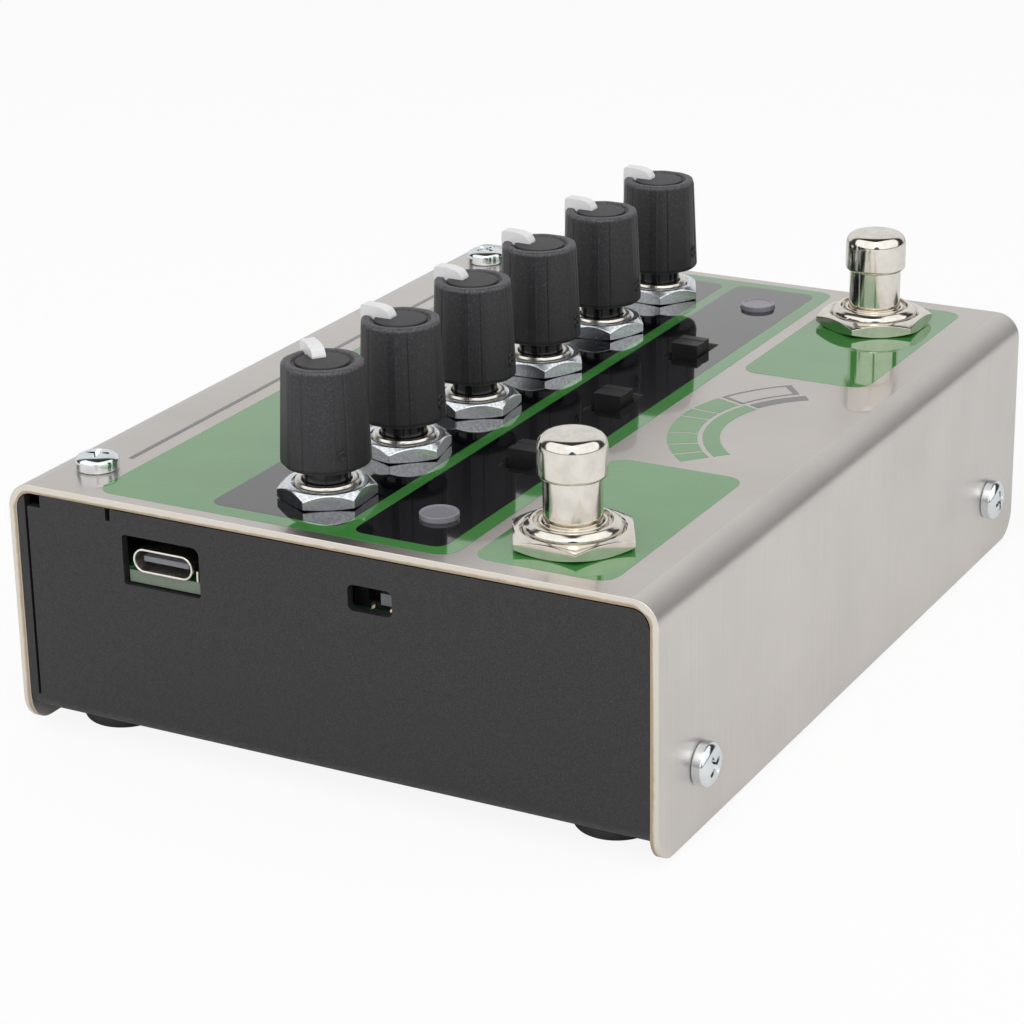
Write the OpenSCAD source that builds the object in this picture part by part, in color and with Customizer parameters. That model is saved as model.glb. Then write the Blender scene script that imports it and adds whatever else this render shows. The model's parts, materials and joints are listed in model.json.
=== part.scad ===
/* [Enclosure] */
// Width over the side panels
body_w = 122; // [90:0.5:180]
// Depth over the front and rear flanges
body_d = 92; // [70:0.5:140]
// Height from the flange edge to the printed top
body_h = 34; // [26:0.5:60]
// Sheet thickness of the folded cover
sheet_t = 1.2; // [0.8:0.1:2]
// Outer bend radius of the cover
bend_r = 3.5; // [1.5:0.1:8]
// Corner radius at the foot of each flange
flange_corner_r = 4; // [1:0.1:8]
// Sheet thickness of the base tray
base_t = 1.2; // [0.8:0.1:2]
// Outer bend radius under the side panels
tray_bend_r = 2.4; // [1.5:0.1:5]
// Outer bend radius under the rear tabs
tab_bend_r = 1.3; // [1.25:0.05:3]
// Seam between the side panels and the cover
seam_gap = 0.1; // [0.05:0.01:0.4]

/* [Tabs] */
// Length of each top tab along the side
top_tab_len = 10; // [6:0.5:20]
// Distance of the top tab's front end from the rear face
top_tab_back = 15; // [10:0.5:30]
// Reach of each top tab inwards
top_tab_reach = 13; // [8:0.5:20]
// Width of the relief cut beside a top tab
relief_w = 0.7; // [0.5:0.1:2.5]
// Depth of the relief cut beside a top tab
relief_h = 1.6; // [0.8:0.1:4]
// Reach of each front tab inwards
front_tab_reach = 17; // [12:0.5:25]
// Height of each front tab
front_tab_h = 12; // [8:0.5:20]
// Reach of each rear tab inwards
rear_tab_reach = 8; // [4:0.5:15]
// Slit between a side panel and the end of the rear tab
rear_slit_w = 0.4; // [0.2:0.05:1]
// Length of the notch over a side panel's rear end
rear_notch_len = 2.4; // [1:0.1:5]

/* [Feet] */
// Radius of a rubber foot
foot_r = 5.4; // [3:0.1:10]
// Height of a rubber foot
foot_h = 3; // [1:0.1:8]
// Chamfer on a foot's lower edge
foot_chamfer = 0.5; // [0.1:0.1:1]
// Amount the feet reach below the flange edges
foot_drop = 0.5; // [0.1:0.1:5]
// Distance of a foot from the side panel's outer face
foot_inset = 9.7; // [6:0.1:30]
// Distance of the front feet from the front face
foot_front_y = 10.3; // [6:0.5:40]
// Distance of the rear feet from the rear face
foot_rear_inset = 9.2; // [6:0.1:40]

/* [Case screws] */
// Thread radius
screw_r = 1.5; // [1:0.05:2.5]
// Length under the head
screw_len = 6; // [4:0.5:12]
// Head radius
head_r = 2.85; // [2:0.05:4]
// Head height
head_h = 2.1; // [1:0.1:3]
// Rounding of the head's upper edge
head_round = 1; // [0.3:0.1:1.5]
// Width of the cross recess
recess_w = 0.7; // [0.3:0.05:1.2]
// Length of the cross recess
recess_len = 3.2; // [2:0.1:4.5]
// Depth of the cross recess
recess_depth = 1.2; // [0.4:0.1:1.6]
// Distance of a top screw from the side panel's outer face
top_screw_inset = 9; // [6:0.1:20]
// Distance of a top screw from the rear face
top_screw_back = 7.7; // [6:0.1:20]
// Distance of a front screw from the side panel's outer face
front_screw_inset = 11.4; // [6:0.1:20]
// Height of a front screw above the flange edge
front_screw_z = 9.1; // [5:0.1:30]
// Radial clearance of a screw in the cover
screw_clear = 0.2; // [0.1:0.05:0.5]
// Radial clearance of a thread in its nut
thread_clear = 0.05; // [0.01:0.01:0.1]
// Radius of a press nut
press_nut_r = 3; // [2:0.1:5]
// Height of a press nut behind its tab
press_nut_h = 1.6; // [1:0.1:4]
// Radius of the neck pressed into the tab
press_neck_r = 2.2; // [1.8:0.05:3]

/* [Knobs] */
// Distance of the outer knobs from the side panel's outer face
knob_inset = 13.25; // [8:0.05:24]
// Distance of the knobs from the front face
knob_y = 52.3; // [30:0.1:80]
// Radius at the foot of a knob
knob_low_r = 5.55; // [4:0.05:10]
// Radius at the top of a knob
knob_top_r = 5.1; // [3:0.05:10]
// Gap from the printed top to the foot of a knob
knob_rise = 4.6; // [3.5:0.1:8]
// Height of a knob
knob_h = 13.3; // [8:0.1:20]
// Bevel at the foot and the top of a knob
knob_bevel = 0.6; // [0.2:0.1:1.5]
// Number of flats round a knob
knob_flats = 6; // [5:1:12]
// Radius of the disc on a knob's top
disc_r = 3.95; // [2:0.05:6]
// Width of the groove round the disc
disc_groove_w = 0.3; // [0.1:0.05:0.6]
// Depth of the groove round the disc
disc_groove_h = 0.35; // [0.1:0.05:1]
// Turn of the first knob at rest, clockwise
first_knob_deg = 38; // [0:1:90]
// Width of a pointer
pointer_w = 2; // [1:0.1:3]
// Distance of a pointer's inner end from the axis
pointer_in_r = 0.9; // [0.3:0.1:3]
// Depth of the slot that holds a pointer
pointer_seat_h = 0.8; // [0.4:0.1:2]
// Height a pointer stands over the knob at the rim
pointer_proud = 1; // [0.2:0.1:2]
// Length of the pointer down the side
pointer_drop = 3.4; // [1:0.1:8]
// Thickness of the pointer down the side
pointer_side_t = 0.9; // [0.4:0.1:2]
// Amount the pointer stands out of the side
pointer_out = 0.25; // [0.1:0.05:1]
// Clearance round a pointer in its slot
pointer_clear = 0.05; // [0.02:0.01:0.1]

/* [Potentiometers] */
// Shaft radius
shaft_r = 3; // [2:0.05:4]
// Radial clearance of the shaft in its bushing
shaft_clear = 0.08; // [0.02:0.01:0.1]
// Radial clearance of the shaft in its knob
knob_fit = 0.04; // [0.01:0.01:0.1]
// Depth of the shaft in its knob
shaft_grip = 11; // [6:0.5:15]
// Depth of the flat on the shaft
shaft_flat = 1.2; // [0.4:0.1:2]
// Bushing thread radius
bushing_r = 4.1; // [3.3:0.05:5]
// Height of the bushing above the printed top
bushing_rise = 2.5; // [2:0.1:6]
// Radial clearance of a bushing in the cover
bushing_clear = 0.2; // [0.1:0.05:0.5]
// Thickness of the metal plate under the bushing
pot_plate_t = 1; // [0.6:0.1:2]
// Width of a potentiometer body
pot_w = 9.8; // [9.5:0.1:14]
// Depth of a potentiometer body
pot_d = 11.4; // [9.5:0.1:16]
// Radius of the rotor on the shaft
rotor_r = 3.9; // [3.5:0.1:6]
// Height of the rotor
rotor_h = 1.6; // [0.8:0.1:3]
// Floor under the rotor
pot_floor = 1.2; // [0.6:0.1:3]
// Gap round a rotor
rotor_gap = 0.35; // [0.3:0.01:0.6]
// Width of a bushing nut across flats
pot_nut_af = 11; // [8:0.1:14]
// Height of a bushing nut
pot_nut_h = 2.1; // [1.2:0.1:4]
// Drop of the chamfer at the corners of a bushing nut
pot_nut_chamfer = 0.6; // [0.2:0.05:1]

/* [Footswitches] */
// Distance of a footswitch from the side panel's outer face
foot_switch_inset = 13.1; // [10:0.1:30]
// Distance of the footswitches from the front face
foot_switch_y = 17.7; // [10:0.1:40]
// Width of a footswitch nut across flats
foot_nut_af = 14.6; // [12:0.1:20]
// Height of a footswitch nut
foot_nut_h = 1.8; // [1.5:0.1:5]
// Drop of the chamfer at the corners of a footswitch nut
foot_nut_chamfer = 0.95; // [0.2:0.05:1.2]
// Thread radius of a footswitch bushing
foot_bushing_r = 6.1; // [5:0.05:8]
// Height of the bushing above the printed top
foot_bushing_rise = 2.9; // [2.5:0.1:8]
// Rounding of the bushing's upper edge
foot_bushing_round = 1; // [0.3:0.1:2]
// Depth of the ring groove in the bushing's end
foot_groove_h = 0.6; // [0.2:0.1:1.5]
// Width of the ring groove in the bushing's end
foot_groove_w = 0.6; // [0.2:0.1:1.5]
// Radius of the plunger's neck
neck_r = 3.65; // [2.5:0.05:5]
// Radius of the plunger's cap
cap_r = 4.3; // [3:0.05:8]
// Height of the cap's foot above the printed top
cap_rise = 8.45; // [5:0.1:15]
// Height of the cap
cap_h = 5.35; // [2:0.1:8]
// Rounding of the cap's upper edge
cap_round = 1.7; // [0.5:0.1:3]
// Rounding of the cap's lower edge
cap_under = 0.5; // [0.2:0.1:1]
// Travel of a plunger
foot_travel = 2; // [1:0.1:4]
// Radial clearance of a plunger in its bushing
neck_clear = 0.08; // [0.02:0.01:0.1]
// Width of a footswitch body
foot_body_w = 17.2; // [14:0.1:22]
// Height of a footswitch body
foot_body_h = 14; // [10:0.1:20]
// Thickness of the plate over the body
foot_plate_t = 1; // [0.6:0.1:2]
// Radius of the flange that keeps a plunger in
keeper_r = 4.5; // [4:0.05:6]
// Thickness of the keeper flange
keeper_t = 1.5; // [0.8:0.1:3]
// Gap round a keeper flange
keeper_gap = 0.35; // [0.3:0.01:0.6]
// Width of a solder lug
lug_w = 2.4; // [1:0.1:4]
// Thickness of a solder lug
lug_t = 0.8; // [0.4:0.1:1.5]
// Length of a solder lug
lug_len = 2.8; // [2:0.1:6]
// Distance between the two lugs of a footswitch
lug_pitch = 8; // [4:0.1:12]

/* [Slide switches] */
// Distance of the outer slide switches from the side panel's outer face
slide_inset = 36.6; // [25:0.1:45]
// Distance of the slide switches from the front face
slide_y = 36.15; // [25:0.1:60]
// Length of a slot in the cover
slot_len = 9.4; // [6:0.1:16]
// Width of a slot in the cover
slot_w = 4.8; // [3:0.1:8]
// Length and width of a lever
lever_w = 4; // [2:0.1:7]
// Height of a lever above the printed top
lever_rise = 1.7; // [0.8:0.1:5]
// Height of each rib on a lever
lever_rib_h = 0.3; // [0.1:0.05:0.6]
// Travel of a lever each way
slide_travel = 2.4; // [1:0.1:4]
// Length of a switch frame
frame_len = 13; // [12:0.1:20]
// Width of a switch frame
frame_w = 6.8; // [5.5:0.1:10]
// Height of a switch frame
frame_h = 3.6; // [2.5:0.1:6]
// Sheet thickness of a switch frame
frame_t = 0.5; // [0.3:0.05:1]
// Height of a switch base
slide_base_h = 2.4; // [1:0.1:4]
// Length of the carrier inside a frame
carrier_len = 6; // [5:0.1:8]
// Width of the carrier inside a frame
carrier_w = 5.1; // [4.2:0.1:8]
// Height of the carrier inside a frame
carrier_h = 1.5; // [0.8:0.1:3]
// Gap round a carrier
carrier_gap = 0.3; // [0.3:0.01:0.6]

/* [Indicators] */
// Distance of an indicator from the side panel's outer face
led_inset = 13.1; // [6:0.1:30]
// Distance of the indicators from the front face
led_y = 36.15; // [20:0.1:60]
// Lens radius
led_r = 2.5; // [1.5:0.05:5]
// Radius of the rim under a lens
led_rim_r = 2.9; // [2:0.05:6]
// Height of the rim under a lens
led_rim_h = 1; // [0.5:0.1:2]
// Height of a lens above the printed top
led_rise = 0.7; // [0.2:0.1:3]
// Height of a spacer under an indicator
led_spacer_h = 1.2; // [0.5:0.1:4]
// Radial clearance of a lens in the cover
led_clear = 0.1; // [0.05:0.05:0.5]

/* [Circuit boards] */
// Depth of the board's upper face below the printed top
board_drop = 9.2; // [8:0.1:15]
// Board thickness
board_t = 1.6; // [0.8:0.1:2.4]
// Gap between the main board and each side panel
board_side_gap = 0.5; // [0.3:0.1:2]
// Distance of the main board's front edge from the front face
board_front_y = 27.4; // [27.4:0.1:35]
// Distance of the main board's rear edge from the rear face
board_rear_inset = 3.6; // [3.2:0.1:12]
// Distance of a small board's front edge from the front face
small_board_front_y = 10; // [6:0.1:20]
// Distance of a small board's rear edge from the front face
small_board_rear_y = 32; // [30:0.1:40]
// Width of a small board
small_board_w = 16; // [10:0.1:24]
// Length of a header between the boards
header_len = 10.2; // [5:0.1:16]
// Width of a header
header_w = 2.5; // [2:0.1:5]
// Distance of the headers from the front face
header_y = 29.7; // [29:0.1:36]
// Side of the large chip
chip_w = 14; // [7:0.1:24]
// Height of a chip
chip_h = 1.4; // [0.8:0.1:3]
// Side of the small chips
small_chip_w = 6; // [3:0.1:12]
// Gap between the chips
chip_gap = 2; // [0.5:0.1:5]
// Distance of the large chip from the side panel's outer face
chip_inset = 47; // [44:0.1:60]
// Radius of a capacitor
cap_can_r = 3.1; // [2:0.1:5]
// Height of a capacitor
cap_can_h = 5.4; // [3:0.1:7]
// Pitch of the capacitors
cap_can_pitch = 8; // [7:0.1:14]

/* [USB port] */
// Distance of the port from the rear face
usb_back = 23.1; // [16:0.1:40]
// Width of the metal shell
usb_w = 8.94; // [8:0.01:10]
// Height of the metal shell
usb_h = 3.26; // [3:0.01:4]
// Depth of the metal shell
usb_len = 7.35; // [5:0.05:10]
// Wall of the metal shell
usb_wall = 0.31; // [0.2:0.01:0.5]
// Width of the tongue
tongue_w = 6.69; // [5:0.01:8]
// Thickness of the tongue
tongue_t = 0.7; // [0.4:0.01:1]
// Set-back of the tongue in the shell
tongue_back = 0.9; // [0.3:0.05:2]
// Thickness of the block behind the tongue
usb_block_t = 1.6; // [0.8:0.1:3]
// Amount the shell stands out of the board's edge
usb_out = 0.4; // [0.1:0.05:1]
// Width of the board's tab under the port
usb_tab_w = 10.6; // [9.5:0.1:14]
// Distance of that tab's end from the panel's outer face
usb_tab_back = 0.7; // [0.3:0.1:2]
// Width of the window for the port
usb_window_w = 11.5; // [10:0.1:16]
// Height of the window for the port
usb_window_h = 6.7; // [5:0.1:12]
// Distance of that window's lower edge below the printed top
usb_window_drop = 11.05; // [8:0.05:20]
// Corner radius of that window
usb_window_r = 0.4; // [0.3:0.1:2.5]
// Radius of the window's upper front corner
usb_corner_r = 1.1; // [0.5:0.1:2.5]

/* [Side switch] */
// Distance of the small window from the front face
side_window_y = 38.6; // [30:0.1:60]
// Width of the small window
side_window_w = 6.2; // [4:0.1:12]
// Height of the small window
side_window_h = 3.4; // [2:0.1:6]
// Distance of that window's lower edge below the printed top
side_window_drop = 8.5; // [6:0.1:20]
// Corner radius of that window
side_window_r = 0.8; // [0.2:0.1:1.5]
// Length of the side switch's body
side_body_len = 8.4; // [6:0.1:14]
// Depth of the side switch's body
side_body_d = 3.4; // [2.5:0.1:6]
// Height of the side switch's body
side_body_h = 3.3; // [2.5:0.1:6]
// Distance of that body from the board's edge
side_body_back = 1.6; // [0.8:0.1:3]
// Width and height of the actuator
actuator_w = 1.5; // [0.8:0.1:3]
// Amount the actuator stands out of its body
actuator_out = 1.3; // [0.6:0.1:3]
// Depth of the actuator in its body
actuator_in = 1.4; // [0.6:0.1:3]
// Start of the actuator, from the window's middle
actuator_start = 1.15; // [0.5:0.05:3]
// Travel of the actuator
side_travel = 2.2; // [1:0.1:3]
// Gap round the actuator
actuator_gap = 0.3; // [0.3:0.01:0.6]
// Height of the actuator's middle above the board
actuator_z = 2; // [1:0.1:4]
// Width of a metal leg
leg_w = 0.5; // [0.2:0.05:1]
// Reach of a metal leg
leg_reach = 0.9; // [0.4:0.1:2]
// Thickness of a metal leg
leg_t = 0.3; // [0.15:0.05:0.6]
// Height of a metal leg
leg_h = 0.9; // [0.4:0.1:2]
// Distance between the legs
leg_pitch = 2.6; // [1.5:0.1:5]

/* [Rear jacks] */
// Distance of each signal jack from the side panel's outer face
jack_inset = 28; // [14:0.5:40]
// Gap between a jack body and the base's floor
jack_floor_gap = 3.7; // [1:0.1:8]
// Radius of a signal jack's bore
jack_bore_r = 3.25; // [3.2:0.01:3.6]
// Thread radius of a signal jack
jack_bushing_r = 4.75; // [4.5:0.05:6]
// Length of the thread from the outer face
jack_rise = 4.6; // [3:0.1:8]
// Radial clearance of a jack thread in the cover
jack_clear = 0.2; // [0.1:0.05:0.5]
// Width of a jack body
jack_w = 15.6; // [12:0.1:20]
// Depth of a jack body
jack_d = 24; // [18:0.5:30]
// Wall at the far end of a jack body
jack_end = 1.6; // [1:0.1:4]
// Width of a jack nut across flats
jack_nut_af = 13; // [11:0.1:16]
// Height of a jack nut
jack_nut_h = 2.2; // [1:0.1:4]
// Drop of the chamfer at the corners of a jack nut
jack_nut_chamfer = 0.6; // [0.2:0.05:1.2]
// Radius of a jack washer
jack_washer_r = 7.2; // [6:0.1:9]
// Thickness of a jack washer
jack_washer_t = 0.5; // [0.3:0.1:1]
// Radial clearance of a nut or washer on its thread
nut_clear = 0.05; // [0.01:0.01:0.1]
// Width of the power jack's body
dc_w = 9; // [8:0.1:14]
// Depth of the power jack's body
dc_d = 14; // [10:0.1:18]
// Height of the power jack's body
dc_h = 11; // [9:0.1:14]
// Radius of the power jack's socket
dc_socket_r = 2.8; // [2.5:0.05:3.2]
// Depth of the power jack's socket
dc_socket_d = 10; // [7:0.5:12]
// Radius of the power jack's centre pin
dc_pin_r = 1.05; // [0.8:0.05:1.4]
// Set-back of the pin's tip in the socket
dc_pin_back = 0.8; // [0.3:0.1:2]
// Radius of the opening for the power jack
dc_hole_r = 4; // [3.5:0.1:6]

/* [Small details] */
// Chamfer under a nut as a share of the one on top
nut_under_share = 0.6; // [0.1:0.05:1]
// Radius of a nut's flat end as a share of half its width
nut_end_share = 0.96; // [0.9:0.01:1]
// Distance of a knob's flats from its axis, as a share of its radius
flat_share = 0.94; // [0.9:0.001:1]
// Proud height of a pointer at its inner end, as a share of the rim's
inner_proud_share = 0.3; // [0:0.05:1]
// Proud height of a pointer at the outer edge, as a share of the rim's
rim_share = 0.55; // [0:0.05:1]
// Number of ribs on a lever
lever_ribs = 4; // [2:1:6]
// Turn of the first pot's nut
first_nut_deg = 3; // [0:1:60]
// Turn of the second pot's nut
second_nut_deg = 12; // [0:1:60]
// Turn of the third pot's nut
third_nut_deg = 5; // [0:1:60]
// Turn of the fourth pot's nut
fourth_nut_deg = 33; // [0:1:60]
// Turn of the fifth pot's nut
fifth_nut_deg = 38; // [0:1:60]
// Turn of the sixth pot's nut
sixth_nut_deg = 27; // [0:1:60]
// Turn of the left footswitch nut
left_nut_deg = 29; // [0:1:60]
// Turn of the right footswitch nut
right_nut_deg = 0; // [0:1:60]

/* [Hidden] */
// Extra length of a cutter beyond the face it cuts
cut = sheet_t;
front_reach = head_h;
rear_reach = jack_rise;
front_y = front_reach - (front_reach + body_d + rear_reach) / 2;
rear_y = front_y + body_d;
flange_z = foot_drop;
top_z = foot_drop + body_h;
under_z = top_z - sheet_t;
tray_front_y = front_y + sheet_t;
tray_rear_y = rear_y - sheet_t - seam_gap;
tray_top_z = under_z - seam_gap;
inner_x = body_w / 2 - base_t;
board_top = top_z - board_drop;
board_under = board_top - board_t;
board_x = inner_x - board_side_gap;
usb_edge_x = body_w / 2 - usb_tab_back;
foot_x = body_w / 2 - foot_inset;
foot_rear_y = body_d - foot_rear_inset;
top_screw_x = body_w / 2 - top_screw_inset;
top_screw_y = body_d - top_screw_back;
front_screw_x = body_w / 2 - front_screw_inset;
top_tab_y = body_d - top_tab_back;
knob_count = 6;
knob_pitch = (body_w - 2 * knob_inset) / (knob_count - 1);
foot_switch_x = body_w / 2 - foot_switch_inset;
slide_pitch = body_w / 2 - slide_inset;
led_x = body_w / 2 - led_inset;
jack_x = body_w / 2 - jack_inset;
board_rear_y = body_d - board_rear_inset;
chip_x = body_w / 2 - chip_inset;
chip_y = (knob_y + pot_d / 2 + board_rear_y) / 2;
usb_y = body_d - usb_back;
knob_z = top_z + knob_rise;
knob_end = knob_z + knob_h;
foot_body_top = under_z - foot_plate_t;
foot_body_low = foot_body_top - foot_body_h;
small_board_top = foot_body_low - lug_len;
slide_base_top = board_top + slide_base_h;
frame_top = slide_base_top + frame_h;
jack_low_z = foot_h + base_t + jack_floor_gap;
jack_axis_z = (jack_low_z + board_under) / 2;
jack_face_y = rear_y - sheet_t;
knob_xs = [for (i = [0:knob_count - 1]) knob_inset - body_w / 2 + i * knob_pitch];
knob_turns = [first_knob_deg, 0, 0, 0, 0, 0];
slide_xs = [-slide_pitch, 0, slide_pitch];
pot_nut_degs = [
    first_nut_deg, second_nut_deg, third_nut_deg,
    fourth_nut_deg, fifth_nut_deg, sixth_nut_deg
];
sides = [-1, 1];
foot_groove_r = neck_r + foot_groove_w;
round_fn = 32;
fine_fn = 48;

// A block with the cover's two upper bends, inset all round
module bent_block(width, inset) {
    r = bend_r - inset;
    low = front_y + inset;
    high = rear_y - inset;
    foot = inset > 0 ? flange_z - cut : flange_z;
    translate([-width / 2, low, foot])
        cube([width, high - low, top_z - inset - r - foot]);
    translate([-width / 2, low + r, foot])
        cube([width, high - low - 2 * r, top_z - inset - foot]);
    for (y = [low + r, high - r])
        translate([-width / 2, y, top_z - inset - r])
            rotate([0, 90, 0])
                cylinder(r = r, h = width, $fn = fine_fn);
}

// What a rounded corner leaves of a square one, along Y
module corner_cutter(r, length) {
    difference() {
        translate([-cut, 0, -cut])
            cube([r + cut, length, r + cut]);
        translate([r, -cut, r])
            rotate([-90, 0, 0])
                cylinder(r = r, h = length + 2 * cut, $fn = round_fn);
    }
}

// A chamfered hex nut with a plain bore, on the XY plane
module hex_nut(across, height, bore, chamfer) {
    corner = across / sqrt(3);
    difference() {
        intersection() {
            cylinder(r = corner, h = height, $fn = 6);
            nut_profile(across, corner, height, chamfer);
        }
        translate([0, 0, -cut])
            cylinder(r = bore, h = height + 2 * cut, $fn = round_fn);
    }
}

// The turned outline that chamfers a nut's corners
module nut_profile(across, corner, height, chamfer) {
    end = across / 2 * nut_end_share;
    rotate_extrude($fn = fine_fn)
        polygon([
            [0, 0],
            [end, 0],
            [corner, chamfer * nut_under_share],
            [corner, height - chamfer],
            [end, height],
            [0, height]
        ]);
}

// A window with rounded corners, cut along X, centred on its place
module side_window(width, height, r) {
    for (y = [-width / 2 + r, width / 2 - r], z = [r, height - r])
        translate([-cut, y, z])
            rotate([0, 90, 0])
                cylinder(r = r, h = base_t + 2 * cut, $fn = round_fn);
    translate([-cut, -width / 2 + r, 0])
        cube([base_t + 2 * cut, width - 2 * r, height]);
    translate([-cut, -width / 2, r])
        cube([base_t + 2 * cut, width, height - 2 * r]);
}

module cover() {
    color("silver")
        difference() {
            bent_block(body_w, 0);
            bent_block(body_w + 2 * cut, sheet_t);
            cover_openings();
            for (s = sides)
                translate([s * body_w / 2, front_y - cut, flange_z])
                    scale([-s, 1, 1])
                        corner_cutter(flange_corner_r, body_d + 2 * cut);
        }
}

// A round opening through the top
module top_hole(x, y, r) {
    translate([x, front_y + y, under_z - cut])
        cylinder(r = r, h = sheet_t + 2 * cut, $fn = round_fn);
}

// A round opening through the rear flange
module rear_hole(x, r) {
    translate([x, rear_y - sheet_t - cut, jack_axis_z])
        rotate([-90, 0, 0])
            cylinder(r = r, h = sheet_t + 2 * cut, $fn = round_fn);
}

module cover_openings() {
    for (x = knob_xs)
        top_hole(x, knob_y, bushing_r + bushing_clear);
    for (x = slide_xs)
        translate([x - slot_len / 2, front_y + slide_y - slot_w / 2, under_z - cut])
            cube([slot_len, slot_w, sheet_t + 2 * cut]);
    for (s = sides) {
        top_hole(s * foot_switch_x, foot_switch_y, foot_bushing_r + bushing_clear);
        top_hole(s * led_x, led_y, led_r + led_clear);
        top_hole(s * top_screw_x, top_screw_y, screw_r + screw_clear);
        rear_hole(s * jack_x, jack_bushing_r + jack_clear);
        translate([s * front_screw_x, front_y - cut, flange_z + front_screw_z])
            rotate([-90, 0, 0])
                cylinder(r = screw_r + screw_clear, h = sheet_t + 2 * cut, $fn = round_fn);
    }
    rear_hole(0, dc_hole_r);
}

// The tray's outer or inner form, open along Y
module tray_block(inset) {
    r = tray_bend_r - inset;
    half = body_w / 2 - inset;
    long = tray_rear_y - tray_front_y + (inset > 0 ? 2 * cut : 0);
    start = tray_front_y - (inset > 0 ? cut : 0);
    foot = foot_h + inset;
    height = tray_top_z - foot + (inset > 0 ? cut : 0);
    translate([-half, start, foot + r])
        cube([2 * half, long, height - r]);
    translate([-half + r, start, foot])
        cube([2 * (half - r), long, height]);
    for (s = sides)
        translate([s * (half - r), start, foot + r])
            rotate([-90, 0, 0])
                cylinder(r = r, h = long, $fn = round_fn);
}

module base() {
    color("dimgray")
        difference() {
            union() {
                difference() {
                    tray_block(0);
                    tray_block(base_t);
                }
                for (s = sides)
                    scale([s, 1, 1])
                        base_tabs();
            }
            base_openings();
        }
}

// The three tabs of the right-hand side panel
module base_tabs() {
    // Top tab, against the underside of the cover
    translate([inner_x - top_tab_reach, front_y + top_tab_y, under_z - base_t])
        cube([top_tab_reach + base_t, top_tab_len, base_t]);
    // Front tab, against the front flange
    translate([inner_x - front_tab_reach, tray_front_y, foot_h + tray_bend_r])
        cube([front_tab_reach + base_t / 2, base_t, front_tab_h]);
    // Rear tab, risen from the floor in front of the rear flange
    intersection() {
        tray_block(0);
        translate([inner_x - rear_tab_reach, tray_rear_y - base_t, foot_h])
            cube([rear_tab_reach + base_t, base_t, top_z - bend_r - foot_h]);
    }
}

module base_openings() {
    corner_r = bend_r - sheet_t;
    slit_y = tray_rear_y - base_t - rear_slit_w;
    notch_y = tray_rear_y - base_t - rear_notch_len;
    for (s = sides) {
        // Upper front corner, rounded to the cover's inner bend
        translate([s * inner_x, tray_front_y, under_z])
            scale([s, 1, 1])
                translate([-cut, 0, 0])
                    front_corner_cutter(corner_r);
        // Upper rear corner of the tab's end, rounded to the same bend
        translate([s * inner_x, tray_rear_y, under_z])
            scale([s, -1, 1])
                translate([-cut, -seam_gap, 0])
                    front_corner_cutter(corner_r);
        // Slit between the side panel and the tab's end
        translate([s * (inner_x + base_t / 2) - base_t, slit_y, foot_h + tray_bend_r])
            cube([2 * base_t, rear_slit_w, body_h]);
        // Notch over the side panel's rear end
        translate([s * (inner_x + base_t / 2) - base_t, notch_y, tray_top_z - relief_h])
            cube([2 * base_t, rear_notch_len, relief_h + cut]);
        // Relief cut in front of the top tab
        translate([s * (inner_x + base_t / 2) - base_t, front_y + top_tab_y - relief_w, tray_top_z - relief_h])
            cube([2 * base_t, relief_w, relief_h + cut]);
        // Bend between the floor and the rear tab
        translate([s > 0 ? inner_x - rear_tab_reach : -body_w / 2 - cut, tray_rear_y, foot_h])
            rotate([0, 0, -90])
                corner_cutter(tab_bend_r, rear_tab_reach + base_t + cut);
        translate([s * top_screw_x, front_y + top_screw_y, under_z - base_t - cut])
            cylinder(r = press_neck_r + thread_clear, h = base_t + 2 * cut, $fn = round_fn);
        translate([s * front_screw_x, tray_front_y - cut, flange_z + front_screw_z])
            rotate([-90, 0, 0])
                cylinder(r = press_neck_r + thread_clear, h = base_t + 2 * cut, $fn = round_fn);
    }
    translate([-body_w / 2, front_y + usb_y, top_z - usb_window_drop])
        usb_window();
    translate([-body_w / 2, front_y + side_window_y, top_z - side_window_drop])
        side_window(side_window_w, side_window_h, side_window_r);
}

// The window over the USB connector, whose upper front corner is rounder
module usb_window() {
    difference() {
        side_window(usb_window_w, usb_window_h, usb_window_r);
        translate([-3 * cut, -usb_window_w / 2, usb_window_h])
            difference() {
                translate([0, -cut, -usb_corner_r])
                    cube([base_t + 6 * cut, usb_corner_r + cut, usb_corner_r + cut]);
                translate([-cut, usb_corner_r, -usb_corner_r])
                    rotate([0, 90, 0])
                        cylinder(r = usb_corner_r, h = base_t + 8 * cut, $fn = round_fn);
            }
    }
}

// Rounds an upper front corner, cut along X
module front_corner_cutter(r) {
    difference() {
        translate([0, -cut, -r])
            cube([2 * cut + base_t, r + cut, r + cut]);
        translate([-cut, r, -r])
            rotate([0, 90, 0])
                cylinder(r = r - seam_gap, h = 4 * cut + base_t, $fn = fine_fn);
    }
}

module feet() {
    color("black")
        for (s = sides, y = [foot_front_y, foot_rear_y])
            translate([s * foot_x, front_y + y, 0])
                rotate_extrude($fn = round_fn)
                    polygon([
                        [0, 0],
                        [foot_r - foot_chamfer, 0],
                        [foot_r, foot_chamfer],
                        [foot_r, foot_h],
                        [0, foot_h]
                    ]);
}

// A pan-head screw, its head on the XY plane and its thread below
module case_screw() {
    difference() {
        union() {
            translate([0, 0, -screw_len])
                cylinder(r = screw_r, h = screw_len + head_h - head_round, $fn = round_fn);
            cylinder(r = head_r, h = head_h - head_round, $fn = round_fn);
            translate([0, 0, head_h - head_round])
                pan_end();
        }
        for (turn = [45, 135])
            rotate([0, 0, turn])
                translate([-recess_len / 2, -recess_w / 2, head_h - recess_depth])
                    cube([recess_len, recess_w, recess_depth + cut]);
    }
}

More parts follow.
